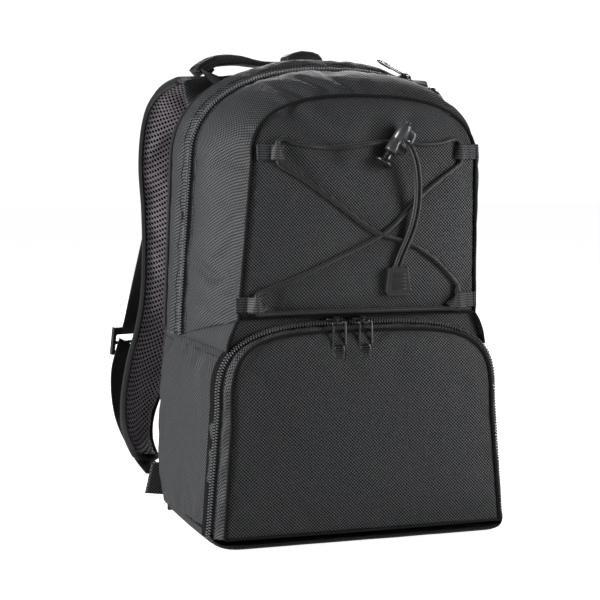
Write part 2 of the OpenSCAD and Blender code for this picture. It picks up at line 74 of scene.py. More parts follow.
joints = {j["name"]: j for j in frame["joints"]}
HINGE_Z = round(joints["lid_fold"]["pos_m"][2] / MM, 3)
CREST_Z = round(high("rear_gusset")[2])
BACK_Y = round(low("back_panel")[1])
BACK_FACE_Y = round(high("back_panel")[1])
HALF_W = round(high("back_panel")[0])
SHELF_Z = round(high("shelf")[2], 1)
FRONT_Y = round(low("lower_side_l")[1])
ZIP_Y = round((low("main_coil")[1] + high("main_coil")[1]) / 2, 2)
DOOR_TOP = round(high("door_coil")[2]) - 1
DOOR_Y = round(low("door_coil")[1]) + 2
DOOR_FACE_Y, DOOR_LEAN, DOOR_FOOT_Z = -78, 0.038, 10
LID_FACE_Y, LID_LEAN = -60, 0.145
SWAY = 12          # how far the crest has sagged to the right
SAG_FOOT, SAG_RISE = 180, 125
WAIST_FALL = 0.06  # how steeply the seam round the waist falls towards the front

Arch = namedtuple("Arch", "foot_half half foot spring crown power")
ZIP_ARCH = Arch(126, 123, SHELF_Z + 0.3, 300, CREST_Z - 6, 2.3)
CREST_ARCH = Arch(127, 124, SHELF_Z + 0.3, 300, CREST_Z, 2.3)
BACK_ARCH = Arch(HALF_W - 1, 125, SHELF_Z + 0.3, 300, CREST_Z - 2, 2.3)
LID_ARCH = Arch(99, 95, 181, 303, CREST_Z - 31, 2.6)
DOOR_ARCH = Arch(126, 118, 9, 110, DOOR_TOP, 3.2)
DOOR_FACE_ARCH = Arch(116, 109, DOOR_FOOT_Z, 100, DOOR_TOP - 7, 4)

# ---------- curves and grids ----------


def lerp(a, b, f):
    return a + (b - a) * f


def unit(v):
    v = np.asarray(v, float)
    return v / np.maximum(np.linalg.norm(v, axis=-1, keepdims=True), 1e-12)


def smoothstep(a, b, v):
    t = np.clip((v - a) / (b - a), 0, 1)
    return t * t * (3 - 2 * t)


def sag(z):
    """How much of the sideways sag a height has, from 0 at the fold to 1 near the top."""
    return np.clip((z - SAG_FOOT) / SAG_RISE, 0, 1)


def seam_z(y):
    """Height of the seam round the waist, which falls a little towards the front."""
    return SHELF_Z - 2.5 + WAIST_FALL * y


def arch_at(a, p, grow=0.0, foot=None):
    """Points of an arch: p is 0 at the left foot, 1 at the spring, 2 at the crown, 4 at the right foot."""
    foot = a.foot if foot is None else foot
    q = np.where(p < 2, p, 4 - p)
    turn = np.radians(90 * np.clip(q - 1, 0, 1))
    leg = foot + (a.spring - foot) * np.clip(q, 0, 1)
    half = lerp(a.foot_half, a.half, np.clip((leg - a.foot) / (a.spring - a.foot), 0, 1)) + grow
    x = half * np.cos(turn) ** (2 / a.power)
    z = leg + (a.crown + grow - a.spring) * np.sin(turn) ** (2 / a.power)
    return np.where(p < 2, -x, x), z


def even(a, n, foot=None, first=0.0, last=4.0):
    """n values of p, evenly spaced along an arch's length."""
    p = np.linspace(first, last, 3000)
    x, z = arch_at(a, p, foot=foot)
    along = np.concatenate([[0], np.cumsum(np.hypot(np.diff(x), np.diff(z)))])
    return np.interp(np.linspace(0, along[-1], n), along, p)


def in_plane(x, z, y, slope=0.0, z0=0.0, sway=0.0):
    """An outline on a plane that leans back, with the sideways sag."""
    return np.stack([x + sway * sag(z), y + slope * (z - z0) + 0 * x, z], axis=-1)


def spline(points, steps):
    """A smooth curve through points, with steps pieces from each to the next."""
    p = np.asarray(points, float)
    last = len(p) - 1
    out = []
    for i in range(last):
        a, b, c, d = p[max(i - 1, 0)], p[i], p[i + 1], p[min(i + 2, last)]
        for f in np.arange(steps) / steps:
            out.append(0.5 * (2 * b + (c - a) * f + (2 * a - 5 * b + 4 * c - d) * f**2
                              + (3 * b - a - 3 * c + d) * f**3))
    return np.array(out + [p[last]])


def respaced(line, step):
    """The line again, with points about step apart."""
    along = np.concatenate([[0], np.cumsum(np.linalg.norm(np.diff(line, axis=0), axis=1))])
    at = np.linspace(0, along[-1], max(2, round(along[-1] / step) + 1))
    return np.stack([np.interp(at, along, line[:, k]) for k in range(line.shape[1])], axis=1)


def normals_of(grid, outward):
    """Unit normals of a grid of points, on the side of the vectors outward."""
    n = unit(np.cross(np.gradient(grid, axis=0), np.gradient(grid, axis=1)))
    return n * np.where((n * outward).sum(-1, keepdims=True) < 0, -1, 1)


def noise_at(points, size, seed):
    """Smooth noise from about -1 to 1 at each point; size is the length of its bumps."""
    flat = np.asarray(points).reshape(-1, 3) / size
    shift = Vector((seed * 7.3, seed * 3.1, seed * 5.7))
    values = [noise.noise(Vector(p) + shift) for p in flat]
    return np.array(values).reshape(np.asarray(points).shape[:-1])


def coons(left, top, right, bottom):
    """A grid of points inside four edges. left and right run upwards, top and bottom to the right."""
    v = np.linspace(0, 1, len(left))[:, None, None]
    u = np.linspace(0, 1, len(top))[None, :, None]
    ruled = (1 - v) * bottom[None] + v * top[None] + (1 - u) * left[:, None] + u * right[:, None]
    corners = ((1 - v) * ((1 - u) * bottom[0] + u * bottom[-1]) + v * ((1 - u) * top[0] + u * top[-1]))
    return ruled - corners


# ---------- meshes ----------


def new_object(name, verts, faces, uvs=None, smooth=True):
    mesh = bpy.data.meshes.new(name)
    mesh.from_pydata((np.asarray(verts, float) * MM).tolist(), [],
                     [tuple(int(i) for i in f) for f in faces])
    if uvs is not None:
        layer = mesh.uv_layers.new(name="cloth")
        index = np.zeros(len(mesh.loops), np.int32)
        mesh.loops.foreach_get("vertex_index", index)
        layer.data.foreach_set("uv", (np.asarray(uvs, float)[index] * MM).ravel())
    mesh.polygons.foreach_set("use_smooth", [smooth] * len(mesh.polygons))
    obj = bpy.data.objects.new(name, mesh)
    bpy.context.scene.collection.objects.link(obj)
    return obj


def lengths(grid, axis):
    """Distance along a grid of points in one direction, in millimetres."""
    steps = np.linalg.norm(np.diff(grid, axis=axis), axis=-1)
    return np.concatenate([np.zeros_like(np.take(steps, [0], axis=axis)), np.cumsum(steps, axis=axis)],
                          axis=axis)


def quads(rows, cols, ring=True, loop=False, turned=False):
    """The faces of a grid of points, turned the other way round if wanted. ring joins the last column to the
    first, and loop joins the last row to the first."""
    i, j = np.meshgrid(np.arange(rows if loop else rows - 1), np.arange(cols if ring else cols - 1),
                       indexing="ij")
    next_i, next_j = (i + 1) % rows, (j + 1) % cols
    corners = [i * cols + j, i * cols + next_j, next_i * cols + next_j, next_i * cols + j]
    if turned:
        corners = corners[:1] + corners[:0:-1]
    return np.stack(corners, -1).reshape(-1, 4)


def rod_faces(rows, cols, turned=False):
    """The faces of a rod whose points are rows of rings: its sides and its two ends."""
    return [*quads(rows, cols, turned=turned), range(cols), range((rows - 1) * cols, rows * cols)]


def plate_faces(n):
    """The faces of a plate whose first n points are one outline and whose next n are the other."""
    sides = [(i, i + n, (i + 1) % n + n, (i + 1) % n) for i in range(n)]
    return [range(n), range(2 * n - 1, n - 1, -1), *sides]


def grid_object(name, grid, outward, thick=0.0, levels=0):
    """A sheet through a grid of points, with its own weave coordinates and its cloth on the inner side."""
    rows, cols = grid.shape[:2]
    u, v = lengths(grid, 1), lengths(grid, 0)
    u = u - u[:, [cols // 2]]
    faces = quads(rows, cols, ring=False)
    a, b, c = (grid.reshape(-1, 3)[faces[len(faces) // 2, k]] for k in (0, 1, 2))
    out = np.broadcast_to(outward, grid.shape).reshape(-1, 3)[faces[len(faces) // 2, 0]]
    if np.dot(np.cross(b - a, c - a), out) < 0:
        faces = faces[:, ::-1]
    obj = new_object(name, grid.reshape(-1, 3), faces, np.stack([u, v], -1).reshape(-1, 2))
    if levels:
        m = obj.modifiers.new("smooth", "SUBSURF")
        m.levels = m.render_levels = levels
    if thick:
        thicken(obj, thick)
    return obj


def thicken(obj, thick):
    """Gives a sheet its cloth's thickness, on the inner side."""
    m = obj.modifiers.new("cloth thickness", "SOLIDIFY")
    m.thickness, m.offset = thick * MM, -1


def frames_along(line, up, loop=False):
    """Directions along a line, and for each point the two that are square to it; up is near the second."""
    padded = np.vstack([line[-1:], line, line[:1]]) if loop else line
    d = unit(np.gradient(padded, axis=0)[1:-1] if loop else np.gradient(line, axis=0))
    up = np.broadcast_to(np.asarray(up, float), line.shape)
    side = unit(np.cross(d, up))
    return d, side, np.cross(side, d)


def tube(name, line, radius, sides=10, up=(0, 1, 0.01), flat=1.0, loop=False):
    """A round tube along a line, or a flattened one, whose height along up is flat times its width."""
    line = np.asarray(line, float)
    _, side, top = frames_along(line, up, loop)
    r = np.broadcast_to(np.asarray(radius, float), (len(line),))[:, None, None]
    t = np.linspace(0, 2 * math.pi, sides, endpoint=False)[None, :, None]
    grid = line[:, None] + r * (np.cos(t) * side[:, None] + flat * np.sin(t) * top[:, None])
    n, m = grid.shape[:2]
    faces = [*quads(n, m, loop=loop, turned=True)]
    if not loop:
        faces += [range(m), range(n * m - 1, (n - 1) * m - 1, -1)]
    along = lengths(grid, 0)
    around = np.broadcast_to(np.abs(t[..., 0] - math.pi) * float(np.mean(r)), along.shape)
    uv = np.stack([along, around], -1).reshape(-1, 2)
    return fix_normals(new_object(name, grid.reshape(-1, 3), faces, uv))


def fix_normals(obj):
    bm = bmesh.new()
    bm.from_mesh(obj.data)
    bmesh.ops.recalc_face_normals(bm, faces=bm.faces)
    bm.to_mesh(obj.data)
    bm.free()
    return obj


def strip(name, line, up, width, thick, edge=0.35, turn_uv=False):
    """Webbing along a line: width and thick are one number or one for each point, up is the outer side."""
    _, side, top = frames_along(line, up)
    w = np.broadcast_to(np.asarray(width, float), (len(line),)) / 2
    h = np.broadcast_to(np.asarray(thick, float), (len(line),)) / 2
    t = np.linspace(0, 2 * math.pi, 24, endpoint=False)
    across = np.sign(np.cos(t)) * np.abs(np.cos(t)) ** edge
    height = np.sign(np.sin(t)) * np.abs(np.sin(t)) ** 0.6
    grid = (line[:, None] + w[:, None, None] * across[None, :, None] * side[:, None]
            + h[:, None, None] * height[None, :, None] * top[:, None])
    faces = rod_faces(*grid.shape[:2], turned=True)
    uv = np.stack([lengths(grid, 0), np.broadcast_to(w[:, None] * across[None], grid.shape[:2])], -1)
    if turn_uv:
        uv = uv[..., ::-1]
    return fix_normals(new_object(name, grid.reshape(-1, 3), faces, uv.reshape(-1, 2)))


def many(name, template, faces, places, along=(1, 0, 0), across=(0, 1, 0), up=(0, 0, 1)):
    """One mesh of copies of a small template, whose x runs along, y across and z up at each place."""
    t = np.asarray(template, float)
    x, y, z = (np.broadcast_to(way, places.shape)[:, None] for way in (along, across, up))
    verts = places[:, None] + t[:, :1] * x + t[:, 1:2] * y + t[:, 2:] * z
    every = [np.array(f) + k * len(t) for k in range(len(places)) for f in faces]
    return fix_normals(new_object(name, verts.reshape(-1, 3), every))


def capsule(length, radius, sides=6, rise=0.0, axis=0):
    """A short rounded rod along x or y, arched by rise."""
    s = np.array([-1, -0.86, -0.4, 0.4, 0.86, 1]) * length / 2
    r = np.array([0.35, 0.85, 1, 1, 0.85, 0.35]) * radius
    t = np.linspace(0, 2 * math.pi, sides, endpoint=False)
    verts = []
    for a, b in zip(s, r):
        lift = rise * (1 - (2 * a / length) ** 2)
        for w in t:
            p = (a, b * math.cos(w), b * math.sin(w) + lift)
            verts.append(p if axis == 0 else (p[1], p[0], p[2]))
    return verts, rod_faces(len(s), sides)


def joined(name, objects):
    """Several new objects as one."""
    bpy.ops.object.select_all(action="DESELECT")
    for o in objects:
        o.select_set(True)
    bpy.context.view_layer.objects.active = objects[0]
    bpy.ops.object.join()
    objects[0].name = objects[0].data.name = name
    return objects[0]


def placed(obj, matrix):
    """Moves a new mesh by a matrix whose lengths are in millimetres."""
    m = matrix.copy()
    m.translation *= MM
    obj.data.transform(m)
    return obj


def applied(obj):
    """The object with its modifiers made part of its mesh."""
    bpy.context.view_layer.objects.active = obj
    for m in list(obj.modifiers):
        bpy.ops.object.modifier_apply(modifier=m.name)
    return obj


def lathe(name, profile, sides=36):
    """A turned shape about z through (radius, height) points."""
    t = np.linspace(0, 2 * math.pi, sides, endpoint=False)
    verts = [(r * math.cos(a), r * math.sin(a), z) for r, z in profile for a in t]
    return fix_normals(new_object(name, verts, rod_faces(len(profile), sides)))


def slab(name, outline, depth, soft, segments=3):
    """A plate with an outline of (x, z) points, depth thick along y, with rounded edges."""
    verts = [(x, s * depth / 2, z) for s in (-1, 1) for x, z in outline]
    return applied(bevel(fix_normals(new_object(name, verts, plate_faces(len(outline)))), soft, segments))


def rounded(half_x, half_z, power=4.0, n=40, mid=(0, 0)):
    """A superellipse of (x, z) points."""
    t = np.linspace(0, 2 * math.pi, n, endpoint=False)
    c, s = np.cos(t), np.sin(t)
    return [(mid[0] + half_x * math.copysign(abs(a) ** (2 / power), a),
             mid[1] + half_z * math.copysign(abs(b) ** (2 / power), b)) for a, b in zip(c, s)]


def bevel(obj, width, segments):
    m = obj.modifiers.new("round edges", "BEVEL")
    m.width, m.segments, m.limit_method, m.angle_limit = width * MM, segments, "ANGLE", math.radians(40)
    return obj


# ---------- materials ----------


class Nodes:
    """A material's node tree, with short calls to add to it."""

    def __init__(self, name):
        self.material = bpy.data.materials.new(name)
        self.material.use_nodes = True
        self.tree = self.material.node_tree
        self.shader = self.tree.nodes["Principled BSDF"]

    def add(self, kind, inputs=(), **settings):
        node = self.tree.nodes.new(kind)
        for key, value in settings.items():
            setattr(node, key, value)
        for key, value in dict(inputs).items():
            self.put(node.inputs[key], value)
        return node

    def put(self, socket, value):
        if isinstance(value, bpy.types.NodeSocket):
            self.tree.links.new(value, socket)
        else:
            socket.default_value = value

    def math(self, op, a, b=0.0, c=None):
        node = self.add("ShaderNodeMath", operation=op)
        for socket, value in zip(node.inputs, (a, b, c)):
            if value is not None:
                self.put(socket, value)
        return node.outputs[0]

    def ramp(self, value, a, b, low_value=0.0, high_value=1.0):
        node = self.add("ShaderNodeMapRange", interpolation_type="SMOOTHSTEP")
        for key, v in zip(("Value", "From Min", "From Max", "To Min", "To Max"),
                          (value, a, b, low_value, high_value)):
            self.put(node.inputs[key], v)
        return node.outputs[0]

    def mix(self, factor, a, b):
        node = self.add("ShaderNodeMix", data_type="RGBA")
        for socket, value in ((node.inputs[0], factor), (node.inputs[6], a), (node.inputs[7], b)):
            self.put(socket, value)
        return node.outputs[2]

    def noise(self, vector, scale, detail=2.0, rough=0.5):
        node = self.add("ShaderNodeTexNoise", {"Scale": scale, "Detail": detail, "Roughness": rough})
        self.put(node.inputs["Vector"], vector)
        return node.outputs[0]

    def uv(self):
        """The cloth's own coordinates, in millimetres, as two values."""
        node = self.add("ShaderNodeSeparateXYZ",
                        {"Vector": self.add("ShaderNodeUVMap", uv_map="cloth").outputs[0]})
        return [self.math("DIVIDE", node.outputs[k], MM) for k in (0, 1)]

    def place(self):
        return self.add("ShaderNodeTexCoord").outputs["Object"]

    def wave(self, value, pitch):
        """A sine of the value with that pitch, from -1 to 1."""
        return self.math("SINE", self.math("MULTIPLY", value, 2 * math.pi / pitch))

    def bump(self, height, strength, depth, under=None):
        node = self.add("ShaderNodeBump", {"Height": height, "Strength": strength, "Distance": depth * MM})
        if under is not None:
            self.put(node.inputs["Normal"], under)
        return node.outputs[0]

    def finish(self, colour, rough, normal=None, **extra):
        self.put(self.shader.inputs["Base Color"], colour)
        self.put(self.shader.inputs["Roughness"], rough)
        if normal is not None:
            self.put(self.shader.inputs["Normal"], normal)
        for key, value in extra.items():
            self.put(self.shader.inputs[key.replace("_", " ")], value)
        return self.material


def grey(v, blue=0.06):
    return (v * (1 - blue / 2), v, v * (1 + blue), 1.0)


def twill(name, level, pitch=2.7, use_uv=True, sheen=0.06):
    """Coarse polyester twill: fine diagonal ribs broken into short floats, with glossy yarns."""
    n = Nodes(name)
    place = n.place()
    if use_uv:
        u, v = n.uv()
    else:
        xyz = n.add("ShaderNodeSeparateXYZ", {"Vector": place})
        u = n.math("DIVIDE", n.math("ADD", xyz.outputs[0], n.math("MULTIPLY", xyz.outputs[1], 0.73)), MM)
        v = n.math("DIVIDE", n.math("ADD", xyz.outputs[2], n.math("MULTIPLY", xyz.outputs[1], 0.31)), MM)
    wander = n.math("MULTIPLY", n.math("SUBTRACT", n.noise(place, 55, 2), 0.5), 1.1)
    warp = n.wave(n.math("ADD", u, wander), pitch)
    weft = n.wave(v, pitch)
    ribs = n.wave(n.math("ADD", n.math("ADD", u, v), wander), pitch)
    crossing = n.math("MULTIPLY_ADD", n.math("MULTIPLY", warp, weft), 0.72, n.math("MULTIPLY", ribs, 0.28))
    height = n.math("MULTIPLY_ADD", crossing, 0.5, 0.5)
    fibre = n.noise(place, 2600, 2)
    patch = n.noise(place, 16, 3)
    tone = n.math("ADD", n.math("MULTIPLY", height, 0.62), n.math("MULTIPLY", fibre, 0.5))
    # Painted shade and highlight: the weave's hollows are painted nearly black and its raised yarns light, mixed
    # with real fibre tone.
    dark, light = grey(level * 0.06), grey(level * 3.0)
    relief_tone = n.mix(n.ramp(tone, 0.3, 0.85), dark, light)
    colour = n.mix(n.ramp(patch, 0.35, 0.75, 0.0, 0.08), relief_tone, grey(level * 1.9))
    soft = n.bump(n.noise(place, 140, 3), 0.18, 1.0)
    normal = n.bump(height, 0.7, 0.5, soft)
    rough = n.ramp(height, 0.0, 1.0, 0.75, 0.46)
    gloss = n.ramp(tone, 0.35, 0.85, 0.02, 0.5)
    return n.finish(colour, rough, normal, Sheen_Weight=n.math("MULTIPLY", gloss, sheen), Sheen_Roughness=0.4,
                    Specular_IOR_Level=gloss)


def webbing(name, level, pitch=1.5, across=2.6):
    """Ribbed webbing: close ribs across its length, stepped into columns."""
    n = Nodes(name)
    place = n.place()
    u, v = n.uv()
    step = n.math("MULTIPLY", n.wave(v, across), 0.32)
    ribs = n.wave(n.math("ADD", u, step), pitch)
    columns = n.wave(v, across / 2)
    height = n.math("MULTIPLY_ADD", n.math("MULTIPLY_ADD", columns, 0.25, ribs), 0.4, 0.5)
    fibre = n.noise(place, 2400, 2)
    tone = n.math("ADD", n.math("MULTIPLY", height, 0.7), n.math("MULTIPLY", fibre, 0.35))
    # Painted shade and highlight: darker in the hollows between ribs and lighter on their tops, with real fibre
    # tone.
    colour = n.mix(n.ramp(tone, 0.2, 0.9), grey(level * 0.2), grey(level * 1.9))
    return n.finish(colour, n.ramp(height, 0, 1, 0.7, 0.45), n.bump(height, 0.6, 0.4), Sheen_Weight=0.04,
                    Specular_IOR_Level=0.3)


def spacer_mesh(name, thread=(0.36, 0.32, 0.355), pitch=4.6):
    """Open spacer mesh: lilac grey threads round dark diamond holes."""
    n = Nodes(name)
    place = n.place()
    u, v = n.uv()
    lattice = n.math("MULTIPLY", n.math("COSINE", n.math("MULTIPLY", u, 2 * math.pi / pitch)),
                     n.math("COSINE", n.math("MULTIPLY", v, 2 * math.pi / pitch)))
    hole = n.ramp(lattice, 0.02, 0.26)
    knit = n.wave(n.math("ADD", v, n.math("MULTIPLY", n.wave(u, pitch / 2), 0.3)), 0.9)
    fibre = n.noise(place, 1900, 2)
    lit = [*(np.array(thread) * 1.7), 1]
    shade = [*(np.array(thread) * 0.4), 1]
    thread_colour = n.mix(n.math("MULTIPLY_ADD", knit, 0.25, n.math("MULTIPLY", fibre, 0.9)), shade, lit)
    # Painted shade: the holes are painted nearly black for the shade inside the open mesh.
    colour = n.mix(hole, thread_colour, (0.003, 0.003, 0.003, 1))
    solid = n.math("SUBTRACT", 1.0, hole)
    height = n.math("MULTIPLY_ADD", knit, 0.06, n.ramp(lattice, 0.1, 0.6, 1.0, 0.0))
    return n.finish(colour, 0.8, n.bump(height, 0.9, 1.4), Sheen_Weight=n.math("MULTIPLY", solid, 0.15),
                    Specular_IOR_Level=n.math("MULTIPLY", solid, 0.3))


def plain_cloth(name, level, size=900):
    """Smooth tape, lining or brushed foam: a tight plain weave with a little fuzz."""
    n = Nodes(name)
    place = n.place()
    weave = n.add("ShaderNodeTexVoronoi", {"Vector": place, "Scale": size})
    fuzz = n.noise(place, size * 1.7, 3, 0.6)
    patch = n.noise(place, 22, 2)
    tone = n.math("ADD", n.math("MULTIPLY", weave.outputs["Distance"], 0.5), n.math("MULTIPLY", fuzz, 0.6))
    colour = n.mix(n.ramp(tone, 0.2, 0.85), grey(level * 0.6, 0.05), grey(level * 1.45, 0.05))
    colour = n.mix(n.ramp(patch, 0.3, 0.8, 0, 0.3), colour, grey(level * 1.5, 0.05))
    return n.finish(colour, 0.82, n.bump(tone, 0.35, 0.4), Sheen_Weight=min(0.2, 3 * level),
                    Specular_IOR_Level=0.15)


def braid(name, level, pitch=2.2):
    """Braided cover of an elastic cord: two sets of strands crossing on the slant."""
    n = Nodes(name)
    u, v = n.uv()
    a = n.wave(n.math("ADD", u, v), pitch)
    b = n.wave(n.math("SUBTRACT", u, v), pitch)
    height = n.math("MULTIPLY_ADD", n.math("MAXIMUM", a, b), 0.4, 0.4)
    # Painted shade and highlight: darker in the grooves between strands and lighter on their crowns.
    colour = n.mix(n.ramp(height, 0.1, 0.8), grey(level * 0.5), grey(level * 1.8))
    return n.finish(colour, n.ramp(height, 0, 0.8, 0.6, 0.38), n.bump(height, 0.5, 0.3), Sheen_Weight=0.1,
                    Specular_IOR_Level=0.5)


def moulded(name, level, rough, metallic=0.0, coat=0.0, grain=700, scuff=0.05):
    """Moulded plastic, enamel or metal, with fine grain, slightly rougher scuffed patches, and a lighter colour
    along sharp convex edges.
    """
    n = Nodes(name)
    place = n.place()
    fine = n.noise(place, grain, 3)
    broad = n.noise(place, 60, 3)
    edge = n.add("ShaderNodeNewGeometry").outputs["Pointiness"]
    # Colour made lighter along sharp convex edges, found from the mesh's pointiness.
    relief_tone = n.ramp(edge, 0.52, 0.62, 0.0, 1.0)
    base = n.mix(n.ramp(broad, 0.3, 0.8, 0, 0.5), grey(level), grey(level * 1.35))
    colour = n.mix(n.math("MULTIPLY", relief_tone, 0.35), base, grey(level * 2.2 + 0.01))
    roughness = n.math("ADD", rough, n.math("MULTIPLY", n.math("SUBTRACT", fine, 0.5), 2 * scuff))
    return n.finish(colour, roughness, n.bump(fine, 0.08, 0.04), Metallic=metallic, Coat_Weight=coat,
                    Coat_Roughness=0.12)


SLOTS = {
    "cloth": twill("twill", 0.026),
    "lower_cloth": twill("door_twill", 0.024),
    "solid_cloth": twill("twill_on_solids", 0.026, use_uv=False),
    "piping": plain_cloth("piping_tape", 0.007),
    "mesh": spacer_mesh("spacer_mesh"),
    "lining": plain_cloth("lining", 0.055, size=1100),
    "foam": plain_cloth("brushed_foam", 0.07, size=500),
    "webbing": webbing("webbing", 0.015),
    "binding": webbing("binding_tape", 0.012, pitch=1.0, across=1.8),
    "loop_webbing": webbing("loop_webbing", 0.045, pitch=2.0, across=3.4),
    "handle_twill": twill("handle_twill", 0.022, pitch=2.4),
    "zip_tape": plain_cloth("zip_tape", 0.003, size=1300),
    "zip_coil": moulded("coil_nylon", 0.065, 0.3, grain=900),
    "zip_metal": moulded("black_enamel", 0.008, 0.14, coat=0.8),
    "spring_steel": moulded("spring_steel", 0.5, 0.25, metallic=1.0),
    "eyelet": moulded("eyelet_metal", 0.42, 0.2, metallic=1.0),
    "lock_body": moulded("lock_body_plastic", 0.035, 0.34, coat=0.25, grain=300, scuff=0.02),
    "lock_plunger": moulded("lock_plunger_plastic", 0.01, 0.26, coat=0.3),
    "cord": braid("cord_braid", 0.007),
    "cord_end": moulded("cord_end_rubber", 0.012, 0.42),
    "buckle": moulded("buckle_plastic", 0.012, 0.36),
    "thread": plain_cloth("thread", 0.02, size=1800),
}


def dress(obj, slot, material=None):
    """Gives a piece the material of its slot, or the material named instead."""
    chosen = SLOTS[material or slot]
    if obj.data.materials:
        for s in obj.material_slots:
            s.link = "OBJECT"
            s.material = chosen
    else:
        obj.data.materials.append(chosen)
    return obj


# ---------- cloth ----------


def settle(obj, pins, slack, pressure, cap, frames=16, stiff=12.0, bending=0.4):
    """Lets a sheet wrinkle: it is cut slack times larger than its place, held at the pinned points and blown
    out a little. No point moves further than about cap."""
    scene = bpy.context.scene
    rest = np.array([v.co for v in obj.data.vertices], float)
    hidden = [(m, m.show_viewport) for m in obj.modifiers]
    for m, _ in hidden:
        m.show_viewport = False
    group = obj.vertex_groups.new(name="held")
    group.add([int(i) for i in pins], 1.0, "REPLACE")
    m = obj.modifiers.new("settle", "CLOTH")
    s = m.settings
    s.quality, s.mass, s.air_damping = 4, 0.2, 4.0
    s.tension_stiffness = s.compression_stiffness = stiff
    s.shear_stiffness, s.bending_stiffness = stiff / 3, bending
    s.tension_damping = s.compression_damping = s.shear_damping = 12
    s.vertex_group_mass = "held"
    s.shrink_min = -slack
    s.use_pressure = pressure > 0
    s.uniform_pressure_force = pressure
    s.effector_weights.gravity = 0.0
    m.collision_settings.use_collision = False
    m.point_cache.frame_start, m.point_cache.frame_end = 1, frames
    for f in range(1, frames + 1):
        scene.frame_set(f)
    evaluated = obj.evaluated_get(bpy.context.evaluated_depsgraph_get())
    moved = np.array([v.co for v in evaluated.data.vertices], float)
    scene.frame_set(1)
    obj.modifiers.remove(m)
    obj.vertex_groups.remove(group)
    for mod, shown in hidden:
        mod.show_viewport = shown
    d = moved - rest
    far = np.linalg.norm(d, axis=1, keepdims=True)
    d *= np.tanh(far / (cap * MM)) * cap * MM / np.maximum(far, 1e-9)
    obj.data.vertices.foreach_set("co", (rest + d).ravel())
    obj.data.update()
    return obj


def edge_pins(rows, cols):
    """The border points of a grid."""
    index = np.arange(rows * cols).reshape(rows, cols)
    return np.unique(np.concatenate([index[0], index[-1], index[:, 0], index[:, -1]]))


def crease(grid, normal, start, end, width, depth, taper=0.3):
    """Presses a soft fold into a grid along the line from start to end; a negative depth raises it."""
    a, b = np.asarray(start, float), np.asarray(end, float)
    d = b - a
    t = np.clip(((grid - a) @ d) / (d @ d), 0, 1)
    away = np.linalg.norm(grid - (a + t[..., None] * d), axis=-1)
    ends = smoothstep(0, taper, t) * smoothstep(0, taper, 1 - t)
    amount = depth * ends * np.exp(-((away / width) ** 2))
    return grid - normal * amount[..., None]


def creased(grid, normal, folds):
    """Presses several folds into a grid: the start, end, width and depth of each, and how it tapers."""
    for fold in folds:
        grid = crease(grid, normal, *fold)
    return grid


# ---------- camera, light and floor ----------


def make_camera():
    """The viewing angle: 19 degrees to the left of the door's middle, a little above the bag's middle."""
    azimuth, pitch, yaw = (math.radians(a) for a in (-19, 5.2, 1.32))
    distance, height = 1.27, 0.303
    data = bpy.data.cameras.new("camera")
    data.lens, data.sensor_width = 91.4, 36.0
    data.clip_start, data.clip_end = 0.05, 50
    cam = bpy.data.objects.new("camera", data)
    bpy.context.scene.collection.objects.link(cam)
    cam.location = (distance * math.sin(azimuth), -distance * math.cos(azimuth), height)
    cam.rotation_euler = (math.pi / 2 - pitch, 0, azimuth + yaw)
    bpy.context.scene.camera = cam


def area_light(name, place, target, size, power):
    data = bpy.data.lights.new(name, "AREA")
    data.shape, data.size, data.size_y = "RECTANGLE", size[0], size[1]
    data.energy = power
    obj = bpy.data.objects.new(name, data)
    bpy.context.scene.collection.objects.link(obj)
    obj.location = place
    obj.rotation_euler = (Vector(target) - Vector(place)).to_track_quat("-Z", "Y").to_euler()


def make_studio():
    """A white floor and surround, with a large soft light from the left and a weak one from the front."""
    world = bpy.data.worlds.new("studio")
    bpy.context.scene.world = world
    world.use_nodes = True
    tree = world.node_tree
    ambient = tree.nodes["Background"]
    ambient.inputs["Color"].default_value = (1, 1, 1, 1)
    ambient.inputs["Strength"].default_value = 0.03
    surround = tree.nodes.new("ShaderNodeBackground")
    surround.inputs["Color"].default_value = (1, 1, 1, 1)
    surround.inputs["Strength"].default_value = 1.1
    seen = tree.nodes.new("ShaderNodeMixShader")
    path = tree.nodes.new("ShaderNodeLightPath")
    tree.links.new(path.outputs["Is Camera Ray"], seen.inputs[0])
    tree.links.new(ambient.outputs[0], seen.inputs[1])
    tree.links.new(surround.outputs[0], seen.inputs[2])
    tree.links.new(seen.outputs[0], tree.nodes["World Output"].inputs["Surface"])
    area_light("key", (-1.95, -0.12, 0.8), (0, 0, 0.2), (0.7, 0.8), 60)
    area_light("top", (0.0, -0.1, 1.9), (0, 0, 0.2), (1.0, 0.7), 2.5)
    area_light("front", (0.57, -0.45, 0.36), (0.1, 0, 0.28), (0.24, 0.5), 4.4)
    area_light("back", (0.6, 1.9, 1.1), (0, 0, 0.2), (0.9, 0.9), 30)
    corners = [(-9000, -9000, 0), (9000, -9000, 0), (9000, 9000, 0), (-9000, 9000, 0)]
    floor = new_object("floor", corners, [(0, 1, 2, 3)])
    n = Nodes("floor_white")
    speck = n.noise(n.place(), 3, 2)
    white = n.mix(speck, (0.46, 0.46, 0.46, 1), (0.5, 0.5, 0.5, 1))
    glow = n.ramp(n.add("ShaderNodeLightPath").outputs["Is Camera Ray"], 0, 1, 0.16, 0.97)
    n.put(n.shader.inputs["Emission Color"], (1, 1, 1, 1))
    n.put(n.shader.inputs["Emission Strength"], glow)
    floor.data.materials.append(n.finish(white, 0.7, Specular_IOR_Level=0.2))
    floor.location.z = -0.6 * MM
    settings = bpy.context.scene.view_settings
    settings.view_transform, settings.look, settings.exposure = "Standard", "None", 0.0


# ---------- free cords ----------

TAIL_D = 3.2
TAIL_SIDE = np.array([1.9, 0, 0])
TAIL_ROUTE = [[40.6, -57.8, 317], [41.6, -60.4, 315.6], [44.4, -61, 310.6], [47.6, -60.6, 302],
              [49.4, -60, 292], [50, -60, 280], [49.4, -60, 268], [47.2, -60.4, 257],
              [43.6, -61, 246], [39, -61.6, 236], [34.6, -62.2, 227], [31.4, -62.4, 218.4]]
END_AT = np.array(TAIL_ROUTE[-1], float)


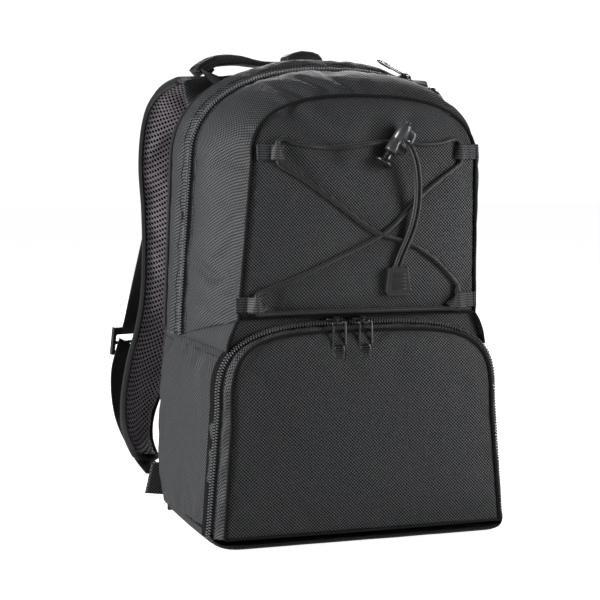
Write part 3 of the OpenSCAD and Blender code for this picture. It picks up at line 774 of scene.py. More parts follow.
def cord_end_piece():
    """The moulded end: a flat wedge that flares downwards, with a lip, side flanges and five ribs."""
    right = [(8, 0), (8.8, -1.6), (8.6, -3), (10.6, -17.5), (11.2, -18.6), (11, -20), (9.6, -21), (9.4, -23)]
    left = [(-x, z) for x, z in reversed(right)]
    outline = left[-1:] + right + left[:-1]
    depth = 7.2
    verts = [(x, s * depth / 2 * (1 - 0.15 * (z < -20)), z) for s in (-1, 1) for x, z in outline]
    wedge = new_object("end_body", np.array(verts) + END_AT, plate_faces(len(outline)), smooth=False)
    parts = [applied(bevel(fix_normals(wedge), 0.7, 3))]
    rib, faces = capsule(13, 0.95, 8)
    for side in (-1, 1):
        places = np.array([END_AT + (0, side * depth / 2 * 0.99, -5.6 - 2.9 * k) for k in range(5)])
        parts.append(many("end_ribs", rib, faces, places))
    for k in (-1, 1):
        middle = END_AT + k * TAIL_SIDE
        ends = np.array([middle + (0, 0, 1.2), middle + (0, 0, -1)])
        parts.append(tube("end_collar", ends, [2.3, 3.0], 14, up=(0, 1, 0)))
    return joined("cord_end_moulding", parts)


def make_cords():
    end = dress(cord_end_piece(), "cord_end")
    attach(end, "lid")
    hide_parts("cord_end")
    for name, node, k in (("tail_left", "cord_tail_a", -1), ("tail_right", "cord_tail_b", 1)):
        route = np.array(TAIL_ROUTE) + k * TAIL_SIDE
        line = spline(route, 8)
        tail = dress(tube(name, line, TAIL_D / 2, 14, up=(1, 0, 0)), "cord")
        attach(tail, "lid")
        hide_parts(node)


# ---------- zippers ----------

COIL_HALF = 2.8    # half the width of the two rows of turns
TAPE_HALF = 5.2    # half the width of the tape under them
TAPE_UNDER = 1.9   # how many times that it reaches under the bag's own cloth
CLOTH_EDGE = 4.3   # from the middle of a zipper to the folded edges of its cloths


def track_frame(line, towards, out):
    """The way across a zipper towards one of its cloths, and the way out of the cloth."""
    d = unit(np.gradient(line, axis=0))
    across = towards - line
    across = unit(across - (across * d).sum(-1, keepdims=True) * d)
    up = np.cross(d, across)
    return across, up * np.where((up * out).sum(-1, keepdims=True) < 0, -1, 1)


def zipper_coil(name, line, across, up, body, node, pitch=2.3, rise=1.0):
    """Two rows of nylon turns that mesh in the middle, on a woven tape that shows at both sides."""
    tape = np.stack([line - (1.0 if w > -1 else 1.8) * up + across * w * TAPE_HALF
                     for w in (-TAPE_UNDER, -1.1, -0.6, 0, 0.6, 1)])
    cloth = dress(grid_object(f"{name}_tape", tape, up, 0.5), "zip_tape")
    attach(cloth, body)
    line = respaced(np.asarray(line, float), pitch)
    sides, ups = unit(resampled(across, len(line))), unit(resampled(up, len(line)))
    d = unit(np.gradient(line, axis=0))
    width = 2 * COIL_HALF
    turn, faces = capsule(width * 0.56, 0.6, 7, rise=0.6, axis=1)
    parts = []
    for k, shift in ((-1, 0.0), (1, 0.5)):
        places = line + k * 0.24 * width * sides + shift * pitch * d + rise * ups
        lean = unit(d + k * 0.16 * sides)
        parts.append(many("turns", turn, faces, places, lean, unit(sides - k * 0.16 * d), ups))
    coil = dress(joined(name, parts), "zip_coil")
    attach(coil, body)
    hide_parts(node)


def stitches(name, line, up, body, pitch=3.0, size=0.36, blend=None):
    """A row of small lockstitches on cloth."""
    line = respaced(np.asarray(line, float), pitch)
    d, side, top = frames_along(line, up if np.ndim(up) == 1 else resampled(up, len(line)))
    rod, faces = capsule(pitch * 0.74, size, 5, rise=0.12)
    obj = dress(many(name, rod, faces, line, d, side, top), "piping", "thread")
    if blend:
        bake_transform(obj)
    else:
        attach(obj, body)


def resampled(values, n):
    """n rows of values, read evenly from end to end."""
    at = np.linspace(0, 1, len(values))
    return np.stack([np.interp(np.linspace(0, 1, n), at, values[:, k]) for k in range(values.shape[1])], 1)


# ---------- upper half ----------

FORWARD = unit(np.array([0, -1, LID_LEAN]))
LID_BLEND = ("bag", "lid", Vector((0, -39.2, 151.0)) * MM, Vector((0, -47.1, 181.6)) * MM)
FOOT_FRONT = HINGE_Z - 2
COLS = 190         # columns of points along the gussets of the main zipper
CLOTH_T = 1.5


def arch_row(a, p, y, slope=0.0, z0=0.0, sway=0.0, grow=0.0, foot=None):
    x, z = arch_at(a, p, grow, foot)
    return in_plane(x, z, y, slope, z0, sway)


def radial(grid, middle_z=200.0, sideways=1.0):
    """Outward directions of an arch's cloth: away from its middle, with nothing along y."""
    return (grid - np.array([0, 0, middle_z])) * np.array([sideways, 0, 1])


def lofted(edges, rows):
    """Rows of points that run evenly through a few edges."""
    places = np.linspace(0, 1, len(edges))
    out = []
    for f in np.linspace(0, 1, rows):
        k = min(int(f * (len(edges) - 1)), len(edges) - 2)
        out.append(lerp(edges[k], edges[k + 1], (f - places[k]) / (places[k + 1] - places[k])))
    return np.array(out)


def folded_edge(grid, normal, sink):
    """Turns a sheet's first rows inwards, as a folded hem."""
    for row, share in enumerate((1.0, 0.35)):
        grid[row] -= normal[row] * sink * share
    return grid


def points_of(obj, rows, cols):
    """A sheet's points as they lie now, as a grid."""
    return np.array([v.co for v in obj.data.vertices]).reshape(rows, cols, 3) / MM


def main_track(p):
    """Middle of the main zipper, the way across it to the lid, the way out, and the lid's own edge."""
    line = arch_row(ZIP_ARCH, p, ZIP_Y, sway=SWAY / 2, grow=-0.4, foot=seam_z(ZIP_Y))
    lid = arch_row(LID_ARCH, p, LID_FACE_Y + 1.2, LID_LEAN, HINGE_Z, SWAY, grow=1.2, foot=FOOT_FRONT)
    across, up = track_frame(line, lid, radial(line))
    return line, across, up, lid


# Start, end, width and depth of each fold that is pressed into the lid's gusset
GUSSET_FOLDS = [((-38, 2, 374), (-8, -32, 356), 4, 2.6), ((-14, -2, 381), (14, -34, 358), 5, 2.0),
                ((-72, -2, 352), (-52, -30, 338), 5, 1.8), ((-72, 10, 377), (-30, -36, 352), 5, 2.6),
                ((-84, 6, 370), (-46, -36, 348), 5, -1.6), ((-118, -10, 300), (-104, -36, 262), 7, 1.8),
                ((-120, 12, 226), (-110, -34, 206), 6, 2.0), ((-122, 14, 196), (-108, -30, 182), 6, 1.8),
                ((120, 10, 238), (108, -30, 214), 7, 2.2)]


def make_lid_gusset():
    """The wide band between the lid's zipper and its piping, and its foot that meets the lower half."""
    rows = 30
    p = even(ZIP_ARCH, COLS, seam_z(ZIP_Y))
    line, across, up, front = main_track(p)
    grid = lofted([line + across * CLOTH_EDGE + up * 0.3, front], rows)
    n = normals_of(grid, radial(grid))
    f = np.linspace(0, 1, rows)[:, None]
    grid += n * (4.4 * np.sin(math.pi * f ** 0.8) ** 0.8)[..., None]
    grid += n * (2.0 * noise_at(grid * (1, 0.5, 0.6), 38, 1) * np.sin(math.pi * f))[..., None]
    n = normals_of(grid, radial(grid))
    grid = creased(grid, n, GUSSET_FOLDS)
    grid = folded_edge(grid, n, 1.3)
    obj = dress(grid_object("lid_gusset", grid, radial(grid), CLOTH_T, levels=1), "cloth")
    settle(obj, edge_pins(rows, COLS), 0.02, 1.2, 2.6)
    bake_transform(obj)
    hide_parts("front_gusset", "lid_zip_tape")
    coords = points_of(obj, rows, COLS)
    top = normals_of(coords, radial(coords))
    for k, row in enumerate((1, 3)):
        stitches(f"lid_zip_stitches_{k}", coords[row] + 0.2 * top[row], top[row], None, blend=LID_BLEND)
    for s, foot in ((-1, coords[:, 0]), (1, coords[:, -1])):
        make_shoulder(s, foot)


def make_shoulder(s, foot):
    """The cloth between the foot of the lid's gusset and the top seam of the lower half."""
    y = np.linspace(foot[0, 1], FRONT_Y - 0.6, len(foot))
    z = seam_z(y) - 1.0
    seam = np.stack([s * (side_half(y, z) + 0.9), y, z], -1)
    v = np.linspace(0, 1, 9)[:, None, None]
    grid = lerp(seam[None], foot[None], v)
    out = np.broadcast_to(np.array([s, 0, 0.4]), grid.shape)
    n = normals_of(grid, out)
    grid = grid + n * (1.6 * np.sin(math.pi * v[..., 0]) * (1 + noise_at(grid, 16, 71)))[..., None]
    tag = "l" if s < 0 else "r"
    cloth = dress(grid_object(f"shoulder_{tag}", grid, out, CLOTH_T, levels=1), "cloth")
    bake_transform(cloth)
    edge = grid[:, -1] + np.array([s * 0.4, -0.8, 0])
    piping = dress(tube(f"shoulder_piping_{tag}", edge, 1.5, 10, up=(0, 1, 0)), "piping")
    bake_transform(piping)


def panel_grid(a, rows, cols, *plane):
    """A panel inside an arch, as a four-sided patch whose upper corners are halfway along the arch's curves.
    plane is what in_plane is told."""
    corner = 1.5

    def place(x, z):
        return in_plane(x, z, *plane)

    p_left = even(a, rows, last=corner)
    p_top = even(a, cols, first=corner, last=4 - corner)
    left = place(*arch_at(a, p_left))
    right = place(*arch_at(a, 4 - p_left))
    top = place(*arch_at(a, p_top))
    bottom = place(np.linspace(-a.foot_half, a.foot_half, cols), np.full(cols, float(a.foot)))
    return coons(left, top, right, bottom)


def pillow(rows, cols, power):
    """A height for each point of a panel, from 0 at its edges to 1 in the middle."""
    u = np.abs(np.linspace(-1, 1, cols))[None] ** power
    v = np.abs(np.linspace(-1, 1, rows))[:, None] ** power
    return (1 - u) * (1 - v)


def stuffed(grid, n, bumps, size, seed):
    """A panel blown out like a pillow, with bumps that fade towards its edges."""
    rows, cols = grid.shape[:2]
    puff = 3.8 * pillow(rows, cols, 4) + bumps * noise_at(grid, size, seed) * pillow(rows, cols, 3)
    return grid + n * puff[..., None]


LID_FOLDS = [((-62, -36, 349), (-6, -43, 300), 7, 4.2, 0.2), ((-46, -35, 353), (8, -41, 312), 6, -2.6),
             ((-66, -41, 318), (-30, -44, 284), 7, 2.6), ((-68, -41, 308), (-52, -48, 262), 6, -1.4),
             ((58, -36, 346), (30, -42, 312), 7, 1.8), ((-88, -58, 212), (-62, -50, 262), 8, 1.6),
             ((-50, -54, 214), (20, -50, 248), 6, 1.2), ((30, -48, 262), (84, -42, 300), 6, 1.2),
             ((24, -40, 346), (12, -44, 318), 7, 1.3), ((-86, -59, 186), (86, -59, 186), 6, 1.6, 0.1)]


def make_lid_panel():
    rows, cols = 62, 70
    grid = panel_grid(LID_ARCH, rows, cols, LID_FACE_Y + 0.6, LID_LEAN, HINGE_Z, SWAY)
    n = np.broadcast_to(FORWARD, grid.shape)
    grid = creased(stuffed(grid, n, 0.7, 46, 3), n, LID_FOLDS)
    obj = dress(grid_object("lid_panel", grid, n, CLOTH_T, levels=1), "cloth")
    settle(obj, edge_pins(rows, cols), 0.012, 1.5, 2.2)
    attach(obj, "lid")
    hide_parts("front_panel")
    return obj


def make_lid_piping():
    p = even(LID_ARCH, 240, FOOT_FRONT)
    line = arch_row(LID_ARCH, p, LID_FACE_Y - 0.2, LID_LEAN, HINGE_Z, SWAY, grow=1.0, foot=FOOT_FRONT)
    wobble = 0.35 * noise_at(line, 22, 5)[:, None] * unit(radial(line))
    cord = dress(tube("lid_piping_cord", line + wobble, 1.3, 10), "piping")
    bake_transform(cord)
    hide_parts("lid_piping")
    row = spline([(x, LID_FACE_Y - sink, HINGE_Z) for x, sink in ((-99, 0), (0, 0.3), (99, 0))], 24)
    hem = dress(tube("lid_foot_seam", row, 1.1, 8, up=(0, 0, 1)), "piping")
    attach(hem, "lid")


def make_rear_gusset():
    """The band between the main zipper and the back panel's binding, over the crest."""
    rows = 16
    p = even(ZIP_ARCH, COLS, seam_z(ZIP_Y))
    line, across, up, _ = main_track(p)
    mid_y, rear_y = 48, BACK_Y + 1
    edges = [line - across * (CLOTH_EDGE + 0.4) - up * 0.5,
             arch_row(CREST_ARCH, p, mid_y, sway=4, grow=2.5, foot=seam_z(mid_y)),
             arch_row(BACK_ARCH, p, rear_y, sway=2, foot=seam_z(rear_y))]
    grid = lofted(edges, rows)
    n = normals_of(grid, radial(grid))
    f = np.linspace(0, 1, rows)[:, None]
    grid += n * (1.0 * np.sin(math.pi * f) * (1 + 1.4 * noise_at(grid, 30, 9)))[..., None]
    n = normals_of(grid, radial(grid))
    grid = folded_edge(grid, n, 1.3)
    obj = dress(grid_object("rear_gusset_cloth", grid, radial(grid), CLOTH_T, levels=1), "cloth")
    settle(obj, edge_pins(rows, COLS), 0.015, 0.8, 1.6)
    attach(obj, "bag")
    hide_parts("rear_gusset", "rear_zip_tape")
    coords = points_of(obj, rows, COLS)
    top = normals_of(coords, radial(coords))
    stitches("rear_zip_stitches", coords[3] + 0.2 * top[3], top[3], "bag")
    binding = arch_row(BACK_ARCH, p, BACK_Y + 2.4, sway=2, grow=0.6, foot=seam_z(BACK_Y))
    band = dress(tube("back_binding", binding, 2.3, 10, up=(0, 1, 0)), "piping", "binding")
    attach(band, "bag")


def make_main_zip():
    line, across, up, _ = main_track(even(ZIP_ARCH, 400, seam_z(ZIP_Y)))
    zipper_coil("main_zip_coil", line, across, up, "bag", "main_coil")


# ---------- lower half ----------

TRAY_TOP = 14.0
REAR_ROLL = 9.0    # how far the padded side bulges near its rear edge
# Half of the base's outline, from the middle of the front to the middle of the back
BASE_HALF = [[0, -79.4], [60, -79.4], [103, -79], [112.5, -77.4], [119.4, -73], [123.8, -67.6], [126.2, -61],
             [127.4, -50], [128.8, 0], [129.8, 46], [130, 61], [127.5, 68.4], [120, 70.4], [60, 70.6],
             [0, 70.6]]
# Height of each ring of the base's rounded foot, and how far in it lies
BASE_RINGS = [(14, 0.4), (11, 0.1), (8, 0.9), (5.2, 2.4), (2.8, 5.0), (1.3, 8.6), (0.7, 14)]
# Folds pressed into each side: y and z of both ends, the width and the depth
SIDE_FOLDS = [(60, 46, 38, 30, 3.0, 2.2), (60, 38, 34, 22, 3.0, -1.6), (60, 30, 36, 12, 3.0, 2.0),
              (60, 54, 44, 48, 3.2, -1.2), (40, 150, 2, 118, 8, 1.8), (-20, 150, -44, 96, 8, 1.6),
              (50, 120, 30, 70, 9, 1.4), (8, 60, -30, 22, 9, 1.4)]
# Folds pressed into the door: x and z of both ends, the width and the depth
DOOR_FOLDS = [(-104, 150, -70, 118, 7, 1.3), (-100, 140, -84, 92, 8, -1.0), (104, 150, 74, 112, 8, 1.3),
              (-106, 40, -80, 76, 8, 1.0), (-20, 164, -14, 128, 9, 0.9), (30, 164, 22, 120, 9, 0.8)]


def door_half(z):
    """Half the width of the door's zipper at a height."""
    a = DOOR_ARCH
    leg = lerp(a.foot_half, a.half, np.clip((z - a.foot) / (a.spring - a.foot), 0, 1))
    top = a.half * (1 - np.clip((z - a.spring) / (a.crown - a.spring), 0, 1) ** a.power) ** (1 / a.power)
    return np.where(z <= a.spring, leg, top)


def side_half(y, z):
    """Half the width of the lower compartment at a place on its side."""
    f = np.clip((BACK_Y - y) / (BACK_Y - FRONT_Y), 0, 1) ** 1.5
    return lerp(HALF_W, door_half(z) + 1, f)


def make_side(s, name, node):
    """A side of the lower compartment: soft, gathered at the strap's anchor and rolled under at the foot."""
    rows, cols = 46, 40
    y = np.linspace(BACK_Y + 1, FRONT_Y + 0.4, cols)[None] * np.ones((rows, 1))
    f = np.linspace(0, 1, rows)[:, None]
    z = lerp(TRAY_TOP - 2, seam_z(y), f)
    full = np.sin(math.pi * np.clip((z - 4) / (SHELF_Z - 4), 0, 1) ** 0.72) ** 0.7
    roll = np.clip((y + 40) / 96, 0, 1) ** 1.5 * (1 - np.clip((y - 57) / 14, 0, 1) ** 2)
    grid = np.stack([s * (side_half(y, z) - 0.9 + REAR_ROLL * full * roll), y, z], -1)
    out = np.broadcast_to(np.array([s, 0, 0.0]), grid.shape)
    n = normals_of(grid, out)
    mid = np.sin(math.pi * f) * np.sin(math.pi * (BACK_Y + 1 - y) / (BACK_Y - FRONT_Y + 0.6)) ** 0.6
    grid += n * (2.6 * mid + 1.5 * noise_at(grid * (1, 1, 0.55), 30, 11 + s) * mid ** 0.5)[..., None]
    n = normals_of(grid, out)
    grid = creased(grid, n, [((s * 128, *f[:2]), (s * 126, *f[2:4]), *f[4:]) for f in SIDE_FOLDS])
    obj = dress(grid_object(name, grid, out, CLOTH_T, levels=1), "cloth")
    settle(obj, edge_pins(rows, cols), 0.02, 1.0, 2.4)
    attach(obj, "bag")
    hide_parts(node)
    top = grid[-1] + s * np.array([0.3, 0, 0])
    seam = dress(tube(f"waist_seam_{name[-1]}", top, 1.1, 8, up=(s, 0, 0)), "piping")
    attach(seam, "bag")
    stitches(f"waist_stitches_{name[-1]}", grid[-3] + 0.3 * n[-3], n[-3], "bag")
    rear = grid[:, 0] * (1, 0, 1) + (-s * 1.6, BACK_Y + 0.6, 0)
    binding = dress(tube(f"rear_binding_{name[-1]}", rear, 3.2, 10, up=(0, 1, 0)), "piping", "binding")
    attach(binding, "bag")


def base_ring(inset):
    """The base's whole outline, drawn in by inset."""
    half = respaced(spline(BASE_HALF, 8), 3.0)
    ring = np.vstack([half, half[::-1][1:-1] * (-1, 1)])
    return np.column_stack([ring[:, 0] * (1 - inset / 128), (ring[:, 1] + 5) * (1 - inset / 74) - 5])


def tray_height(plan, z):
    """The base's rim is lower along the front, under the door."""
    return z * lerp(1, 0.3, smoothstep(-56, -76, plan[:, 1]))


def make_base():
    """The padded underside, rolled up at its rim, with a seam where it meets the walls."""
    rings = []
    for z, inset in BASE_RINGS:
        plan = base_ring(inset)
        ring = np.column_stack([plan, tray_height(plan, z)])
        ring[:, 2] += 0.3 * noise_at(ring, 30, 23)
        rings.append(ring + 0.4 * noise_at(ring * (1, 1, 0), 24, 25)[:, None] * unit(ring * (1, 1, 0)))
    grid = np.array(rings)
    rows, cols = grid.shape[:2]
    faces = [*quads(rows, cols), range((rows - 1) * cols, rows * cols)]
    uv = np.stack([np.broadcast_to(lengths(grid, 1)[:1], (rows, cols)), lengths(grid, 0)], -1)
    tray = fix_normals(new_object("base_cloth", grid.reshape(-1, 3), faces, uv.reshape(-1, 2)))
    thicken(tray, 1.8)
    dress(tray, "cloth", "solid_cloth")
    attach(tray, "bag")
    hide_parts("base_panel")
    plan = base_ring(0.3)
    rim = np.column_stack([plan, tray_height(plan, TRAY_TOP)])
    seam = dress(tube("base_seam", rim, 0.8, 8, up=(0, 0, 1), loop=True), "piping")
    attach(seam, "bag")


def make_yoke():
    """The fixed strip of cloth between the lid's foot and the top of the door's zipper."""
    rows, cols = 9, 60
    v = np.linspace(0, 1, rows)[:, None]
    u = np.linspace(-1, 1, cols)[None]
    x = lerp(109.5, 99.4, v) * u
    z = lerp(150.5, HINGE_Z + 1, v) + 0 * u
    y = FRONT_Y + 0.5 + 0 * x + 0.5 * noise_at(np.stack([x, 0 * x, z], -1), 30, 73)
    grid = np.stack([x, y, z], -1)
    obj = dress(grid_object("front_yoke", grid, (0, -1, 0), 1.4, levels=1), "cloth")
    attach(obj, "bag")
    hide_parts("yoke")


def make_door_panel():
    rows, cols = 50, 84
    grid = panel_grid(DOOR_FACE_ARCH, rows, cols, DOOR_FACE_Y + 0.5, DOOR_LEAN, DOOR_FOOT_Z)
    n = np.broadcast_to(unit(np.array([0, -1, DOOR_LEAN])), grid.shape)
    folds = [((x1, DOOR_FACE_Y, z1), (x2, DOOR_FACE_Y, z2), *size) for x1, z1, x2, z2, *size in DOOR_FOLDS]
    grid = creased(stuffed(grid, n, 0.8, 52, 31), n, folds)
    panel = dress(grid_object("door_panel_cloth", grid, n, CLOTH_T, levels=1), "cloth", "lower_cloth")
    settle(panel, edge_pins(rows, cols), 0.010, 1.2, 1.8)
    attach(panel, "door")
    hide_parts("door_panel")


def make_door_gusset():
    rows, cols = 12, 210
    line, across, up, front = door_track(even(DOOR_ARCH, cols))
    grid = lofted([line + across * CLOTH_EDGE + up * 0.3, front], rows)
    out = radial_door(grid)
    n = normals_of(grid, out)
    f = np.linspace(0, 1, rows)[:, None]
    grid += n * (1.5 * np.sin(math.pi * f) * (1 + 0.9 * noise_at(grid, 24, 35)))[..., None]
    grid = folded_edge(grid, normals_of(grid, out), 1.2)
    obj = dress(grid_object("door_gusset_cloth", grid, out, CLOTH_T, levels=1), "cloth")
    settle(obj, edge_pins(rows, cols), 0.015, 0.8, 1.4)
    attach(obj, "door")
    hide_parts("door_gusset", "door_zip_tape")
    coords = points_of(obj, rows, cols)
    top = normals_of(coords, out)
    stitches("door_zip_stitches", coords[2] + 0.2 * top[2], top[2], "door")


def make_door_piping():
    p = even(DOOR_FACE_ARCH, 260)
    line = arch_row(DOOR_FACE_ARCH, p, DOOR_FACE_Y - 0.3, DOOR_LEAN, DOOR_FOOT_Z, grow=0.9)
    wobble = 0.3 * noise_at(line, 20, 37)[:, None] * unit(radial_door(line))
    cord = dress(tube("door_piping_cord", line + wobble, 1.3, 10), "piping")
    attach(cord, "door")
    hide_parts("door_piping")
    ends_y = DOOR_FACE_Y - 0.3
    foot = spline([[-116, ends_y, 10], [0, DOOR_FACE_Y - 0.8, 9.6], [116, ends_y, 10]], 30)
    hem = dress(tube("door_foot_seam", foot, 0.9, 8, up=(0, 0, 1)), "piping")
    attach(hem, "door")


def make_door_zip():
    line, across, up, _ = door_track(even(DOOR_ARCH, 360))
    zipper_coil("door_zip_coil", line, across, up, "bag", "door_coil", rise=0.2)


def door_track(p):
    """Middle of the door's zipper, the way across it to the door, the way out, and the door's own edge."""
    line = arch_row(DOOR_ARCH, p, DOOR_Y + 0.7, grow=-0.4)
    face = arch_row(DOOR_FACE_ARCH, p, DOOR_FACE_Y + 1.0, DOOR_LEAN, DOOR_FOOT_Z, grow=0.8)
    across, up = track_frame(line, face, radial_door(line))
    return line, across, up, face


def radial_door(grid):
    return radial(grid, 80.0, 0.6)


# ---------- lacing, loops and cord lock ----------

# Each loop's x and z, and the side that its band points to
LOOPS = {"upper_l": (-64, 310, -1), "upper_r": (93, 311, 1), "lower_l": (-86, 191, -1),
         "lower_r": (85, 191, 1)}
# The cord's route: x, height in front of the lid's face, and z
LACING = [[37, 3.6, 318.5], [22, 3.2, 318], [6, 2.7, 316], [-24, 2.5, 314], [-48, 4, 317], [-58, 4.8, 321],
          [-64, 4.8, 317], [-64, 4.8, 303], [-59, 4, 298], [-40, 2.5, 287], [-12, 2.5, 266], [8, 2.5, 251],
          [21, 2.5, 244], [44, 2.5, 237], [66, 2.5, 223], [82, 4, 206], [85, 4.8, 198], [85, 4.8, 185],
          [78, 4, 184], [60, 2.5, 184], [0, 2.5, 184], [-60, 2.5, 184], [-79, 4, 184], [-86, 4.8, 185],
          [-86, 4.8, 198], [-78, 4, 202], [-49, 2.5, 213], [-12, 3.5, 229], [10, 6.2, 239], [21, 6.8, 245],
          [34, 6, 255], [52, 2.8, 272], [74, 2.5, 289], [89, 4, 299], [93, 4.8, 304], [93, 4.8, 317],
          [88, 4.8, 321], [76, 3, 318], [60, 3.2, 317], [46, 3.6, 318.5]]
CORD_R = 1.9


def on_lid(x, z, height):
    """A point at a height in front of the lid's face."""
    return np.array([x, LID_FACE_Y + LID_LEAN * (z - HINGE_Z) - height, z], float)


def cloth_height(obj):
    """A function that gives how far a cloth stands in front of the lid's face at a place."""
    tree = BVHTree.FromObject(obj, bpy.context.evaluated_depsgraph_get())

    def height(x, z):
        start = on_lid(x, z, 60)
        hit = tree.ray_cast(Vector(start * MM), Vector((0, 1, 0)))[0]
        return 0.0 if hit is None else 60 - (hit.y / MM - start[1])
    return height


def make_lacing(height):
    points = [on_lid(x, z, max(h, height(x, z) + CORD_R * 0.9)) for x, h, z in LACING]
    line = spline(points, 6)
    raised = []
    for x, y, z in line:
        over = height(x, z) + CORD_R * 0.82
        own = LID_FACE_Y + LID_LEAN * (z - HINGE_Z) - y
        raised.append(on_lid(x, z, max(own, over)))
    cord = dress(tube("lacing_cord", np.array(raised), CORD_R, 14), "cord")
    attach(cord, "lid")
    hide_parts("lacing")


def make_loops(height):
    for tag, (x, z, s) in LOOPS.items():
        base = max(height(x, z), height(x + s * 10, z)) + 0.5
        shape = [(16.5, base), (12, base), (7.5, base + 0.3), (4.6, 3.6), (2.6, 6.6), (0, 7.6),
                 (-2.6, 6.5), (-4.0, 3.4), (-4.3, base)]
        line = spline([on_lid(x + s * a, z, max(h, base)) for a, h in shape], 5)
        band = strip(f"loop_band_{tag}", line, FORWARD, 12.4, 1.5, turn_uv=True)
        dress(band, "webbing", "loop_webbing")
        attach(band, "lid")
        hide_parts(f"loop_{tag}")
        for k, at in enumerate((8.4, 14.4)):
            row = np.array([on_lid(x + s * at, z + w, base + 0.85) for w in (-5.2, 5.2)])
            stitches(f"loop_stitches_{tag}_{k}", row, FORWARD, "lid", pitch=2.2, size=0.3)


LOCK = Matrix.Translation((34, -52, 318)) @ Matrix.Rotation(math.radians(34), 4, "Y")


def make_lock():
    barrel = lathe("barrel", [(0.4, -9.2), (4.3, -9.2), (5.2, -8.7), (5.5, -7.6), (5.5, 1.7), (5.2, 1.95),
                              (5.2, 2.35), (5.5, 2.6), (5.55, 13.4), (5.35, 15.6), (4.6, 17.1),
                              (3.2, 17.9), (0.4, 18.1)])
    arm = slab("lobe", rounded(6.6, 11.4, 3.2, 48, (5.2, 4.4)), 8.6, 2.2, 4)
    hole = lathe("eyelet_bore", [(2.5, -9), (2.5, 9)], 28)
    placed(hole, Matrix.Translation((6, 0, 3)) @ Matrix.Rotation(math.pi / 2, 4, "X"))
    cut = arm.modifiers.new("bore", "BOOLEAN")
    cut.object, cut.operation, cut.solver = hole, "DIFFERENCE", "EXACT"
    applied(arm)
    bpy.data.objects.remove(hole)
    rim = lathe("cap", [(0.4, 18.0), (2.4, 18.0), (2.9, 18.3), (2.9, 18.9), (2.4, 19.3), (0.4, 19.4)], 24)
    body = dress(placed(joined("lock_shell", [barrel, arm, rim]), LOCK), "lock_body")
    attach(body, "lid")
    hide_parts("lock_body")
    rings = []
    for s in (-1, 1):
        t = np.linspace(0, 2 * math.pi, 40, endpoint=False)
        ring = np.stack([6 + 2.9 * np.cos(t), np.full(40, s * 4.3), 3 + 2.9 * np.sin(t)], 1)
        rings.append(tube("eyelet", ring, 0.62, 10, up=(0, 1, 0), loop=True))
    eyelet = dress(placed(joined("lock_eyelet", rings), LOCK), "spring_steel", "eyelet")
    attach(eyelet, "lid")
    stem = lathe("stem", [(0.4, -20.6), (6.9, -20.6), (8.0, -20.1), (8.3, -19.2), (8.0, -18.3),
                          (6.4, -17.4), (4.7, -16.3), (4.0, -14.8), (3.9, -6.2), (0.4, -6.2)])
    plunger = dress(placed(stem, LOCK), "lock_plunger")
    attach(plunger, "plunger")
    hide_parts("lock_plunger")


# ---------- sliders and pulls ----------

DOOR_PIN_Y, DOOR_PIN_Z = -74.8, 177.2    # where the door's pulls hang on their sliders


def wire_pull(name, matrix, body, node):
    """A bent wire loop with a ribbed grip over its lower third."""
    half, leg, wire = 5.0, 27.0, 0.95
    wide = half + 0.5
    t = np.linspace(0, math.pi, 15)
    bottom = np.stack([wide * np.cos(t), 0 * t, -leg - 4.8 * np.sin(t)], 1)
    a = np.linspace(0, math.pi / 2, 6)
    corner = np.stack([half - 1.4 + 1.4 * np.sin(a), 0 * a, -1.4 + 1.4 * np.cos(a)], 1)
    loop = np.vstack([[-3.6, 0, 0], [0, 0, 0], corner, [half + 0.15, 0, -8], [half + 0.35, 0, -18], bottom,
                      [-half - 0.35, 0, -18], [-half - 0.15, 0, -8], corner[::-1][:-1] * (-1, 1, 1)])
    parts = [tube("wire", loop, wire, 12, up=(0, 1, 0), loop=True)]
    parts.append(slab("grip", rounded(4.6, 6.6, 3.4, 36, (0, -24.4)), 2.3, 0.7))
    rib, faces = capsule(7.4, 0.5, 8)
    for s in (-1, 1):
        places = np.array([(0, s * 1.15, -19.8 - 1.85 * k) for k in range(6)])
        parts.append(many("ribs", rib, faces, places))
    pull = dress(placed(joined(name, parts), matrix), "zip_metal")
    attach(pull, body)
    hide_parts(node)


def shield(half_x, half_y, waist=0.72, n=44):
    """A slider plate's outline: widest in the middle, with round ends."""
    out = []
    for x, y in rounded(half_x, half_y, 3.2, n):
        out.append((x, y * (waist + (1 - waist) * math.cos(math.pi * x / half_x / 2) ** 2)))
    return out


def plate(name, outline, low_z, thick, soft=0.5):
    """A flat plate parallel to the zipper's cloth."""
    obj = slab(name, outline, thick, soft)
    return placed(obj, Matrix.Translation((0, 0, low_z + thick / 2)) @ Matrix.Rotation(math.pi / 2, 4, "X"))


def make_door_sliders():
    """Two sliders whose necks curl round the tops of their pulls."""
    hook = []
    for a in np.linspace(80, 292, 14):
        turn = math.radians(a - 90)
        hook.append([0, DOOR_PIN_Y - 1.8 * math.sin(turn), DOOR_PIN_Z + 1.8 * math.cos(turn)])
    neck = np.vstack([[[0, -59.6, 179.0], [0, -62, 180.2], [0, -66, 180.4], [0, -70, 179.9],
                       [0, -72.6, 179.3]], hook])
    for tag, node, x in (("left", "l", -22), ("right", "r", 0)):
        parts = [plate("top", shield(7.4, 4.4), DOOR_TOP + 1.5, 1.7)]
        placed(parts[0], Matrix.Translation((0, -62.4, 0)))
        parts.append(strip("neck", spline(neck, 3), np.array([0, -0.5, 1]), 4.8, 1.3))
        slider = placed(joined(f"door_slider_{tag}_casting", parts), Matrix.Translation((x, 0, 0)))
        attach(dress(slider, "zip_metal"), f"door_slider_{tag}")
        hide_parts(f"door_slider_{node}")
        hang = Matrix.Translation((x, DOOR_PIN_Y, DOOR_PIN_Z)) @ Matrix.Rotation(math.radians(-1.4), 4, "X")
        wire_pull(f"door_pull_{tag}_wire", hang, f"door_pull_{tag}", f"door_pull_{node}")


